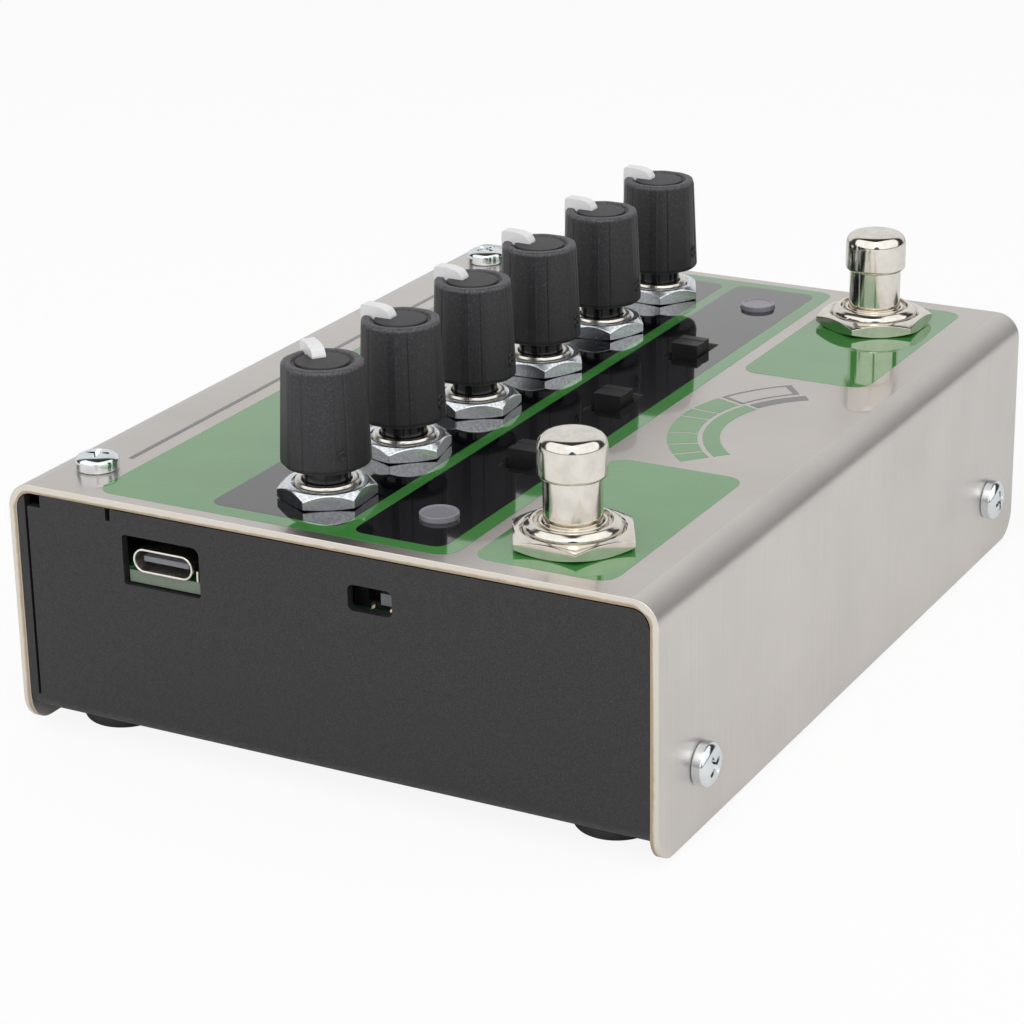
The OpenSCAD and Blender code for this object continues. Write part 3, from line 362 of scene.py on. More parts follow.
@dataclass(frozen=True)
class Plated(Finish):
    """Nickel or zinc on turned or stamped metal."""

    roughness: float
    marks: float
    mottle: float = 0.1
    pitting: float = 0.0
    stains: float = 500.0

    def paint(self, r: Recipe) -> None:
        """Tool marks make the bump and small stains change the tone; pitting roughens the skin.

        Args:
            r: the material's nodes.
        """
        r.base(Metallic=1.0)
        tool, stain = r.noise(Grain.TURNED.value, 4.0, 0.6), r.noise(self.stains, 4.0, 0.65)
        tone, m = r.spread(stain, near=0.38, far=0.66), self.mottle
        r.tint(tone, *self.tones(1.0 + 0.5 * m, 1.0 - m))
        r.roughen(stain, self.roughness * (1 - m), self.roughness * (1 + 2 * m))
        marks = r.bump(tool, self.marks, 0.006)
        if self.pitting:
            r.bump(stain, self.pitting, 0.03, marks)


@dataclass(frozen=True)
class SheetEdge(Finish):
    """The cut edge of sheet steel: a bright sheared band outside, a brown torn line inside."""

    torn: Colour
    roughness: float
    tear: float = 700.0

    def paint(self, r: Recipe) -> None:
        """The mark attribute, 1 at the outer skin and 0 inside, wavers by a noise and parts the tones.

        Args:
            r: the material's nodes.
        """
        r.base(Metallic=1.0)
        tear = r.noise(self.tear, 3.0, 0.6)
        share = r.spread(r.sum(tear, 0.3, r.mark()), near=0.46, far=0.72)
        r.tint(share, self.torn, self.colour)
        r.roughen(share, self.roughness + 0.15, self.roughness, 0.0, 1.0)
        r.bump(tear, 0.3, 0.02)


@dataclass(frozen=True)
class SoftTouch(Finish):
    """Rubbery dark paint on a knob, lighter where its mark attribute is high: a painted highlight."""

    painted_edge_highlight: Colour
    roughness: float
    grit: float = 3600.0

    def paint(self, r: Recipe) -> None:
        """Grain bumps and flecks the skin; the mark attribute, broken by grit, shows the painted
        highlight's colour.

        Args:
            r: the material's nodes.
        """
        r.base(IOR=1.5, Specular_IOR_Level=0.5)
        grit = r.noise(self.grit, 3.0, 0.75)
        # grit breaks up the painted highlight and adds real flecks
        highlight_breakup, fleck = r.spread(grit, 0.25, 1.0, 0.4, 0.62), r.spread(grit, 0.0, 0.26, 0.52, 0.72)
        lit = r.sum(r.mark(), highlight_breakup, fleck, clamp=True)
        r.tint(lit, self.colour, self.painted_edge_highlight)
        r.roughen(grit, self.roughness - 0.05, self.roughness + 0.08)
        r.bump(grit, 0.45, 0.03)


@dataclass(frozen=True)
class Moulded(Finish):
    """Injection-moulded plastic, rubber, lens or board resin."""

    roughness: float = 0.35
    grain: float = 3500.0
    depth: float = 0.008
    mottle: float = 0.08

    def paint(self, r: Recipe) -> None:
        """One grain noise changes tone, roughness and bump a little.

        Args:
            r: the material's nodes.
        """
        r.base(IOR=1.5)
        grit = r.noise(self.grain, 3.0, 0.6)
        r.tint(r.spread(grit), *self.tones(1 - self.mottle, 1 + self.mottle))
        r.roughen(grit, self.roughness * 0.85, self.roughness * 1.2)
        r.bump(grit, 0.2, self.depth)


FINISHES = {finish.name: finish for finish in (
    BrushedSteel("lacquered_steel", (0.63, 0.585, 0.55), Grain.ALONG_Y, 0.34, 0.6),
    # painted light: the bare part of the same steel sheet gets a lighter colour than the lacquered top,
    # so the front and flanges come out brighter; the lacquer and grain direction differ for real
    BrushedSteel("bare_steel_painted_lighter", (0.705, 0.67, 0.64), Grain.ALONG_Z, 0.36),
    SheetEdge("cut_edge", (0.80, 0.75, 0.67), (0.50, 0.405, 0.29), 0.42),
    PowderCoat("powder_coat", (0.020, 0.0185, 0.0195)),
    Ink("green_ink", (0.060, 0.25, 0.054)),
    Ink("black_ink", (0.003, 0.003, 0.0045)),
    Ink("line_ink", (0.06, 0.055, 0.055)),
    Plated("zinc", (0.76, 0.79, 0.83), 0.2, 0.45, 0.2, 0.25, 2600.0),
    Plated("bright_zinc", (0.80, 0.84, 0.86), 0.13, 0.12, 0.08),
    Plated("nickel", (0.80, 0.76, 0.69), 0.12, 0.12),
    Plated("satin_nickel", (0.84, 0.80, 0.73), 0.24, 0.15),
    Plated("tinned", (0.84, 0.76, 0.60), 0.25, 0.2),
    Plated("can", (0.80, 0.80, 0.82), 0.3, 0.2),
    # the second colour is a painted highlight on the knob's rounded rim and foot
    SoftTouch("soft_touch", (0.0145, 0.0132, 0.0158), (0.11, 0.103, 0.114), 0.45),
    Moulded("white_plastic", (0.84, 0.84, 0.84), 0.35, 2000.0, 0.004, 0.015),
    Moulded("black_plastic", (0.013, 0.013, 0.014), 0.36, 2400.0, 0.02),
    Moulded("gloss_black", (0.008, 0.008, 0.009), 0.12),
    Moulded("grey_plastic", (0.19, 0.20, 0.225), 0.4),
    Moulded("blue_plastic", (0.02, 0.09, 0.33)),
    Moulded("phenolic", (0.20, 0.10, 0.04), 0.55, 1800.0, 0.02),
    Moulded("rubber", (0.03, 0.03, 0.033), 0.42, 2600.0, 0.012),
    Moulded("lens", (0.26, 0.25, 0.285), 0.14, 900.0, 0.001, 0.03),
    Moulded("board", (0.012, 0.10, 0.035), 0.3, 900.0, 0.01, 0.25),
    Moulded("board_core", (0.16, 0.20, 0.155), 0.5, 2500.0, 0.02),
)}


@cache
def material(name: str) -> bpy.types.Material:
    """A finish's material, built at its first use."""
    return FINISHES[name].build()


# Forms


@dataclass(frozen=True)
class Form:
    """Points in millimetres of the row frame, and arrays of faces of equal corner count."""

    points: Array
    faces: tuple[Array, ...]

    def __add__(self, other: "Form") -> "Form":
        """Both forms as one."""
        shift = len(self.points)
        return Form(np.vstack([self.points, other.points]),
                    self.faces + tuple(f + shift for f in other.faces))

    def placed(self, at: Point = (0.0, 0.0, 0.0), turn: float = 0.0, axis: str = "Z") -> "Form":
        """The form turned by degrees about an axis through the origin, then moved in millimetres."""
        m = np.array(Matrix.Rotation(math.radians(turn), 3, axis))
        return Form(self.points @ m.T + np.array(at), self.faces)


def joined(forms: Iterable[Form]) -> Form:
    """All the forms as one, in their order."""
    return reduce(Form.__add__, forms)


def along_x(form: Form, xs: Sequence[float], y: float, z: float = 0.0) -> Form:
    """The form's copies at several places in X, as one form."""
    return joined(form.placed((x, y, z)) for x in xs)


def surface(points: Array, wrap_rows: bool = False) -> Form:
    """The quads between neighbours of a grid of points whose last column joins the first.

    Args:
        points: rows by columns by 3.
        wrap_rows: the last row joins the first too.

    Returns:
        The surface.
    """
    rows, columns = points.shape[:2]
    i, j = np.meshgrid(np.arange(rows if wrap_rows else rows - 1), np.arange(columns), indexing="ij")
    i2, j2 = (i + 1) % rows, (j + 1) % columns
    quads = np.stack([i * columns + j, i * columns + j2, i2 * columns + j2, i2 * columns + j], -1)
    return Form(points.reshape(-1, 3), (quads.reshape(-1, 4),))


def softened(corners: Sequence[Sequence[float]], closed: bool = False, steps: int = 5) -> Array:
    """A line through corners with each corner rounded.

    A corner B of radius q leaves its sides a distance q away, at A and C, and follows the curve
    (1-s)(1-s)A + 2s(1-s)B + ssC for s from 0 to 1.

    Args:
        corners: rows of first place, second place and radius.
        closed: the last corner joins the first.
        steps: points on each rounding.

    Returns:
        An array of points by 2; corners of radius 0 repeat.
    """
    c = np.asarray(corners, float)
    p, q = c[:, :2], c[:, 2].copy()
    before, after = np.roll(p, 1, 0), np.roll(p, -1, 0)
    if not closed:
        q[[0, -1]] = 0
    back, ahead = before - p, after - p
    back_len = np.maximum(np.linalg.norm(back, axis=1), 1e-9)
    ahead_len = np.maximum(np.linalg.norm(ahead, axis=1), 1e-9)
    reach = np.minimum(q, 0.5 * np.minimum(back_len, ahead_len))[:, None]
    a = p + back / back_len[:, None] * reach
    b = p + ahead / ahead_len[:, None] * reach
    s = np.linspace(0, 1, steps)[None, :, None]
    line = (1 - s) ** 2 * a[:, None] + 2 * s * (1 - s) * p[:, None] + s ** 2 * b[:, None]
    return line.reshape(-1, 2)


def prism_radius(angle: Array, flats: int, inner: float, outer: float) -> Array:
    """The radius of a regular prism of flats whose corners are cut by a circle.

    At an angle a from the nearest flat's middle it is the lesser of inner / cos a and outer.

    Args:
        angle: angles in radians; flat 0 faces angle 0.
        flats: number of flats.
        inner: distance of a flat from the axis.
        outer: radius of the circle.

    Returns:
        Radii of the angles' shape.
    """
    step = 2 * math.pi / flats
    near = np.mod(angle + step / 2, step) - step / 2
    return np.minimum(inner / np.cos(near), outer)


def full_turn(steps: int) -> Array:
    """Angles in radians, spread evenly round a circle from 0."""
    return np.linspace(0, 2 * math.pi, steps, endpoint=False)


def about_z(r: Array, a: Array, z: Array) -> Form:
    """The surface (r cos a, r sin a, z), closed round the Z axis; a row of r and z is a ring."""
    return surface(np.stack([r * np.cos(a), r * np.sin(a), z + 0 * a], -1))


def turned(corners: Sequence[Sequence[float]], steps: int = 5, segments: int = 72) -> Form:
    """A softened profile of radius, height and rounding, carried round the Z axis.

    Args:
        corners: rows of radius, height and rounding; a closed outline repeats its first row.
        steps: points on each rounding.
        segments: steps round a full turn.

    Returns:
        The turned form.
    """
    profile = softened(corners, steps=steps)
    a = np.radians(np.linspace(0.0, 360.0, segments, endpoint=False))
    return about_z(profile[:, :1], a, profile[:, 1:])


def thread(r: float, low: float, high: float, pitch: float, depth: float) -> list[Sequence[float]]:
    """Corners of a thread from low to below high, at the crest's radius r and depth inside in turn."""
    return [(r - depth * (k % 2), z, 0) for k, z in enumerate(np.arange(low, high, pitch))]


def rounded_box(x0: float, x1: float, y0: float, y1: float, r: float) -> Array:
    """The outline of a rectangle with rounded corners, anticlockwise."""
    return softened([(x0, y0, r), (x1, y0, r), (x1, y1, r), (x0, y1, r)], True, 9)


def ring(x: float, y: float, r: float, count: int = 48) -> Array:
    """A circle's outline."""
    a = full_turn(count)
    return np.stack([x + r * np.cos(a), y + r * np.sin(a)], -1)


def inside(points: Array, loop: Array) -> Array:
    """Whether points lie in a loop: a ray towards +X crosses its sides an odd number of times.

    Args:
        points: places by 2.
        loop: corners by 2, in order.

    Returns:
        True for each point in the loop.
    """
    a, b = loop, np.roll(loop, -1, 0)
    x, y = points[:, 0][:, None], points[:, 1][:, None]
    crossed = (a[:, 1] > y) != (b[:, 1] > y)
    rise = np.where(a[:, 1] == b[:, 1], 1.0, b[:, 1] - a[:, 1])
    at = a[:, 0] + (y - a[:, 1]) * (b[:, 0] - a[:, 0]) / rise
    return (crossed & (x < at)).sum(axis=1) % 2 == 1


def plate(outline: Array, holes: Sequence[Array], low: float, high: float) -> Form:
    """A flat plate: the outline less its holes, filled with triangles, twice, and walls between.

    Args:
        outline: points by 2.
        holes: outlines of the holes.
        low: height of the underside.
        high: height of the upper side.

    Returns:
        The closed plate.
    """
    loops = [outline, *holes]
    flat = [Vector(p) for loop in loops for p in loop]
    starts = np.cumsum([0] + [len(loop) for loop in loops])
    edges = [(int(s + k), int(s + (k + 1) % len(loop)))
             for s, loop in zip(starts, loops) for k in range(len(loop))]
    verts, _, tris, _, _, _ = delaunay_2d_cdt(flat, edges, [], 2, 1e-7)
    p = np.array([(v.x, v.y) for v in verts])
    t = np.array(tris, int)
    for hole in holes:
        t = t[~inside(p[t].mean(axis=1), hole)]
    n = len(p)
    sides = np.sort(np.vstack([t[:, [0, 1]], t[:, [1, 2]], t[:, [2, 0]]]), axis=1)
    lone, count = np.unique(sides, axis=0, return_counts=True)
    lone = lone[count == 1]
    walls = np.stack([lone[:, 0], lone[:, 1], lone[:, 1] + n, lone[:, 0] + n], -1)
    points = np.vstack([np.column_stack([p, np.full(n, low)]), np.column_stack([p, np.full(n, high)])])
    return Form(points, (t[:, ::-1], t + n, walls))


def block(low: Point, high: Point) -> Form:
    """A block; the piece's bevel rounds it.

    Args:
        low: its lowest corner.
        high: its highest corner.

    Returns:
        The block.
    """
    x, y, z = zip(low, high)
    outline = np.array([(x[0], y[0]), (x[1], y[0]), (x[1], y[1]), (x[0], y[1])], float)
    points = np.vstack([np.column_stack([outline, np.full(4, z[0])]),
                        np.column_stack([outline, np.full(4, z[1])])])
    faces = np.array([(3, 2, 1, 0), (4, 5, 6, 7), (0, 1, 5, 4), (1, 2, 6, 5), (2, 3, 7, 6),
                      (3, 0, 4, 7)])
    return Form(points, (faces,))


def linked(name: str, data: bpy.types.ID) -> bpy.types.Object:
    """Puts an object into the scene.

    Args:
        name: its name.
        data: its mesh, lamp or camera.

    Returns:
        The object.
    """
    made = bpy.data.objects.new(name, data)
    bpy.context.scene.collection.objects.link(made)
    return made


def vectors(items: bpy.types.bpy_prop_collection, what: str) -> Array:
    """Reads one vector property of a mesh's vertices or polygons.

    Args:
        items: the vertices or polygons.
        what: the property's name.

    Returns:
        The vectors, as rows of three.
    """
    values = np.zeros(len(items) * 3)
    items.foreach_get(what, values)
    return values.reshape(-1, 3)


def to_mesh(name: str, form: Form) -> bpy.types.Mesh:
    """A merged mesh in metres whose faces point outwards.

    Args:
        name: the mesh's name.
        form: the form, in millimetres.

    Returns:
        The mesh.
    """
    mesh = bpy.data.meshes.new(name)
    faces = [f for array in form.faces for f in array.tolist()]
    mesh.from_pydata((form.points * MM).tolist(), [], faces)
    bm = bmesh.new()
    bm.from_mesh(mesh)
    bmesh.ops.remove_doubles(bm, verts=bm.verts, dist=1.5e-6)
    bmesh.ops.dissolve_degenerate(bm, edges=bm.edges, dist=1e-7)
    bmesh.ops.recalc_face_normals(bm, faces=bm.faces)
    bm.to_mesh(mesh)
    bm.free()
    mesh.validate()
    return mesh


def carved(form: Form, cutter: Form) -> Form:
    """The form less a cutter, by an exact boolean.

    Args:
        form: what is cut.
        cutter: what is taken away.

    Returns:
        What is left.
    """
    made = [linked("carving", to_mesh("carving", f)) for f in (form, cutter)]
    cut = made[0].modifiers.new("cut", "BOOLEAN")
    cut.operation, cut.solver, cut.object = "DIFFERENCE", "EXACT", made[1]
    bpy.context.view_layer.update()
    result = made[0].evaluated_get(bpy.context.evaluated_depsgraph_get()).to_mesh()
    points = vectors(result.vertices, "co") / MM
    faces = tuple(np.array([list(p.vertices)]) for p in result.polygons)
    for o in made:
        mesh = o.data
        bpy.data.objects.remove(o)
        bpy.data.meshes.remove(mesh)
    return Form(points, faces)


def round_edges(piece: bpy.types.Object, width: float, segments: int = 2, angle: float = 32.0) -> None:
    """Adds a bevel that rounds the piece's sharp edges.

    Args:
        piece: the object.
        width: the rounding's size in millimetres.
        segments: steps across it.
        angle: the least angle, in degrees, of an edge that is rounded.
    """
    bevel = piece.modifiers.new("rounded_edges", "BEVEL")
    bevel.width, bevel.segments = width * MM, segments
    bevel.limit_method, bevel.angle_limit = "ANGLE", math.radians(angle)
    bevel.harden_normals = True


def dressed(name: str, mesh: bpy.types.Mesh, finishes: Sequence[str], angle: float,
            mark: Optional[Marker]) -> bpy.types.Object:
    """An object of the mesh with its mark attribute, shading and finishes.

    Args:
        name: the object's name.
        mesh: the mesh.
        finishes: the finishes its faces may have.
        angle: edges above this angle in degrees stay sharp.
        mark: gives the mark attribute from the points in millimetres.

    Returns:
        The object.
    """
    if mark is not None:
        values = mark(vectors(mesh.vertices, "co") / MM).astype(np.float32)
        mesh.attributes.new("mark", "FLOAT", "POINT").data.foreach_set("value", values)
    mesh.shade_smooth()
    mesh.set_sharp_from_angle(angle=math.radians(angle))
    for finish in finishes:
        mesh.materials.append(material(finish))
    return linked(name, mesh)


def make_piece(name: str, form: Form, finish: str, replaces: Sequence[str] = (),
               bevel: float = 0.0, body: str = Body.HOUSING.value, mark: Optional[Marker] = None,
               angle: float = 35.0) -> None:
    """Makes a piece, dresses it and sets it riding on its body.

    Args:
        name: the piece's name.
        form: its form in the row frame, in millimetres.
        finish: the name of its finish.
        replaces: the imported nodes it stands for.
        bevel: the rounding of its sharp edges, in millimetres.
        body: the body it rides on.
        mark: gives the mark attribute from the points in millimetres.
        angle: the shading's sharp angle in degrees.
    """
    piece = dressed(name, to_mesh(name, form), (finish,), angle, mark)
    if bevel:
        round_edges(piece, bevel)
    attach(piece, body)
    if replaces:
        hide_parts(*replaces)
    log.info("%s: %d points on %s", name, len(piece.data.vertices), body)


def merged_copy(node: str, name: str, finishes: Sequence[str], bevel: float,
                choose: Optional[Callable[[Array, Array], Array]] = None,
                mark: Optional[Marker] = None) -> None:
    """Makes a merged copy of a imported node, its flat parts joined and its edges rounded.

    Args:
        node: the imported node, which the copy replaces.
        name: the copy's name.
        finishes: the finishes its faces may have.
        bevel: the rounding of its edges, in millimetres.
        choose: gives each face's finish number from the faces' normals and centres in millimetres.
        mark: gives the mark attribute from the points in millimetres.
    """
    source = frame["nodes"][node]
    bm = bmesh.new()
    bm.from_mesh(source.data)
    bmesh.ops.remove_doubles(bm, verts=bm.verts, dist=2e-6)
    bmesh.ops.dissolve_limit(bm, angle_limit=math.radians(1.0), verts=bm.verts, edges=bm.edges,
                             delimit={"NORMAL"})
    mesh = bpy.data.meshes.new(name)
    bm.to_mesh(mesh)
    bm.free()
    mesh.materials.clear()
    piece = dressed(name, mesh, finishes, 30.0, mark)
    kinds = np.zeros(len(mesh.polygons), np.int32)
    if choose is not None:
        kinds[:] = choose(vectors(mesh.polygons, "normal"), vectors(mesh.polygons, "center") / MM)
    mesh.polygons.foreach_set("material_index", kinds)
    round_edges(piece, bevel, 3, 38.0)
    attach(piece, body_of(source)[0])
    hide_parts(node)
    log.info("%s: %d faces after merging", name, len(mesh.polygons))


def hex_nut(across: float, height: float, bore: float, chamfer: float, segments: int = 96,
            under: float = 0.6) -> Form:
    """A chamfered hexagon nut on the XY plane.

    A corner faces angle 0. The side stands at the hexagon's radius between two cones, which fall
    from the end circles in proportion to how far the side lies outside them.

    Args:
        across: width across the flats.
        height: height of the nut.
        bore: radius of the bore.
        chamfer: how far below the top the cone meets a corner.
        segments: steps round.
        under: the lower chamfer's depth as a share of the upper one's.

    Returns:
        The nut.
    """
    a = full_turn(segments)
    side = prism_radius(a - math.pi / 6, 6, across / 2, across)
    corner, end = across / math.sqrt(3), across / 2 * 0.96
    drop = (side - end) * chamfer / (corner - end)
    lift = drop * under
    rows = [(bore, 0), (end, 0), (side, lift), (side, height - drop), (end, height),
            (bore + 0.4, height), (bore, height - 0.4), (bore, 0)]
    r, z = (np.stack([row[k] + 0 * a for row in rows]) for k in (0, 1))
    return about_z(r, a, z)


# Sub-assemblies


@dataclass
class Case:
    """The folded cover and the bent tray, as merged copies with rounded edges."""

    edge: float = 0.14
    sheet: float = 1.2
    bend: float = 3.5

    def choose_cover(self, normals: Array, centres: Array) -> Array:
        """Lacquer on the flat top, cut-edge finish on faces across the sheet, bare steel painted lighter
        elsewhere.

        Args:
            normals: the faces' normals.
            centres: their centres in millimetres.

        Returns:
            The number of each face's finish.
        """
        kind = np.ones(len(normals), int)
        kind[(normals[:, 2] > 0.9999) & (centres[:, 2] > TOP - 0.01)] = 0
        kind[np.abs(normals[:, 0]) > 0.99] = 2
        depth = self.sheet + 0.1
        flange = (centres[:, 1] < FRONT + depth) | (centres[:, 1] > REAR - depth)
        kind[flange & (np.abs(normals[:, 1]) < 0.5) & (centres[:, 2] < TOP - self.bend - 0.1)] = 2
        return kind

    def outwards(self, points: Array) -> Array:
        """1 at the cover's outer skin, 0 at its inner one.

        The skin's section is a box rounded by the bend radius; past the straight parts a point's
        distance is taken from the bend's middle.

        Args:
            points: places in millimetres.

        Returns:
            The share at each point.
        """
        middle, half = (FRONT + REAR) / 2, (REAR - FRONT) / 2 - self.bend
        y = np.abs(points[:, 1] - middle) - half
        z = points[:, 2] - (TOP - self.bend)
        out = np.hypot(np.maximum(y, 0), np.maximum(z, 0)) + np.minimum(np.maximum(y, z), 0) - self.bend
        return np.clip(1 + out / self.sheet, 0, 1)

    def build(self) -> None:
        """Makes both sheet-metal pieces."""
        merged_copy("cover", "cover_sheet", ("lacquered_steel", "bare_steel_painted_lighter", "cut_edge"),
                    self.edge, self.choose_cover, self.outwards)
        merged_copy("base", "base_tray", ("powder_coat",), self.edge)


@dataclass
class Prints:
    """The glossy printed areas on the top, each a film a few hundredths of a millimetre proud."""

    film: float = 0.02
    step: float = 0.02
    root: float = 0.05
    corner: float = 3.0
    panel_corner: float = 2.0
    pot_hole: float = 4.3
    lamp_hole: float = 2.6
    foot_hole: float = 6.2
    slot: Pair = (4.7, 2.4)
    centre: Pair = (-0.4, -44.2)
    field: Box = (-59.1, 59.1, -18.9, 32.6)
    knob_panel: Box = (-56.5, 56.5, -1.95, 17.05)
    switch_panel: Box = (-57.0, 57.0, -16.65, -3.85)
    patches: tuple[Box, Box] = ((-58.0, -19.6, -39.6, -20.9), (19.6, 58.0, -39.6, -20.9))
    rear_line: Box = (-47.2, 47.2, 34.95, 35.65)
    scale: Pair = (18.5, 22.5)
    scale_edges: tuple[float, ...] = (139.0, 131.0, 121.0, 109.0, 91.5, 83.0, 68.5)
    half_gap: float = 0.6
    end_box: Pair = (67.3, 39.5)
    end_hole: Pair = (65.9, 41.9)
    line: float = 0.35
    band: Box = (15.55, 17.85, 138.4, 67.5)
    end_band: Box = (15.85, 17.6, 65.5, 37.5)

    def lay(self, name: str, outline: Array, finish: str = "green_ink",
            holes: Sequence[Array] = (), level: int = 0) -> None:
        """Lays one film on the top, its root just inside the sheet.

        Args:
            name: the film's name.
            outline: its outline.
            finish: its ink.
            holes: its openings.
            level: how many films lie under it.
        """
        high = TOP + self.film + level * self.step
        make_piece(name, plate(outline, holes, TOP - self.root, high), finish)

    def arc(self, inner: float, outer: float, start: float, end: float) -> Array:
        """The outline of a band round the scale's centre.

        Args:
            inner: its inner radius.
            outer: its outer radius.
            start: its first angle in degrees.
            end: its last angle.

        Returns:
            The outer line, then the inner one backwards.
        """
        line = np.radians(np.linspace(start, end, 24))
        a, r = np.concatenate([line, line[::-1]]), np.repeat((outer, inner), len(line))
        return np.stack([self.centre[0] + r * np.cos(a), self.centre[1] + r * np.sin(a)], -1)

    def panels(self) -> None:
        """Lays the green field, both black panels, both patches and the rear line."""
        across, along = self.slot
        pots = [ring(x, KNOB_Y, self.pot_hole) for x in KNOB_XS]
        slots = [rounded_box(x - across, x + across, SLIDE_Y - along, SLIDE_Y + along, 0.3)
                 for x in SLIDE_XS]
        switches = slots + [ring(x, SLIDE_Y, self.lamp_hole) for x in FOOT_XS]
        inner = self.panel_corner
        self.lay("green_field", rounded_box(*self.field, self.corner), holes=pots + switches)
        self.lay("knob_panel", rounded_box(*self.knob_panel, inner), "black_ink", pots, 1)
        self.lay("switch_panel", rounded_box(*self.switch_panel, inner), "black_ink", switches, 1)
        for side, x, patch in zip(("left", "right"), FOOT_XS, self.patches):
            self.lay(f"footswitch_patch_{side}", rounded_box(*patch, self.corner),
                     holes=[ring(x, FOOT_Y, self.foot_hole)])
        self.lay("rear_line", rounded_box(*self.rear_line, 0.1), "line_ink")

    def build(self) -> None:
        """Lays the panels, then the arc scale: six segments, a box after them and a band inside."""
        self.panels()
        low, high = self.scale
        for n, (start, end) in enumerate(zip(self.scale_edges, self.scale_edges[1:]), 1):
            self.lay(f"arc_segment_{n}", self.arc(low, high, start - self.half_gap, end + self.half_gap))
        self.lay("arc_end_box", self.arc(low, high, *self.end_box), "line_ink",
                 [self.arc(low + self.line, high - self.line, *self.end_hole)])
        self.lay("arc_band", self.arc(*self.band))
        self.lay("arc_end_band", self.arc(*self.end_band), "line_ink")


@dataclass
class Screws:
    """Pan-head screws with a cross recess."""

    head_r: float = 2.85
    head_h: float = 2.1
    shank_r: float = 1.5
    length: float = 6.0
    recess: float = 1.75
    recess_h: float = 1.35
    blade: float = 0.62
    top_at: Pair = (52.0, 37.05)
    front_at: Pair = (49.6, 9.6)

    def screw(self) -> Form:
        """A turned pan head and shank, less two tapered blades crossing at right angles.

        Returns:
            The screw, its head standing on the XY plane.
        """
        r, h, shank, end = self.head_r, self.head_h, self.shank_r, -self.length
        head = turned([(0, end, 0), (1.1, end, 0.2), (shank, end + 0.6, 0.2), (shank, 0.0, 0),
                       (r - 0.2, 0.0, 0.1), (r, 0.2, 0.2), (r, 1.5, 0.5), (r - 0.6, 1.9, 0.4),
                       (r - 1.35, h, 0.5), (0, h, 0)], 6, 64)
        half = self.blade / 2
        blade = block((-self.recess, -half, h - self.recess_h), (self.recess, half, h + 0.2))
        points = blade.points.copy()
        points[points[:, 2] < h - 0.5] *= (0.45, 0.8, 1.0)
        cross = Form(points, blade.faces)
        return carved(carved(head, cross), cross.placed(turn=90.0))

    def build(self) -> None:
        """Sets two screws on the top and two in the front."""
        one = self.screw()
        x, y = self.top_at
        fx, fz = self.front_at
        screws = joined([one.placed((-x, y, TOP), 20.0), one.placed((x, y, TOP), 65.0),
                         one.placed(turn=38.0).placed((-fx, FRONT, fz), 90.0, "X"),
                         one.placed(turn=10.0).placed((fx, FRONT, fz), 90.0, "X")])
        make_piece("case_screw_set", screws, "bright_zinc", ("case_screws",), 0.05)


@dataclass
class Feet:
    """Moulded rubber feet."""

    radius: float = 5.4
    height: float = 3.0
    xs: Pair = (-51.3, 51.3)
    ys: Pair = (-36.95, 35.55)

    def build(self) -> None:
        """Turns one foot with a dished sole and sets four."""
        r, h = self.radius, self.height
        one = turned([(0, 0.35, 0), (r - 2.2, 0.35, 0.4), (r - 1.6, 0.0, 0.3), (r - 0.4, 0.0, 0.4),
                      (r, 0.5, 0.3), (r, h, 0), (0, h, 0)], segments=56)
        feet = joined(one.placed((x, y, 0.0)) for x in self.xs for y in self.ys)
        make_piece("rubber_feet", feet, "rubber", ("feet",))


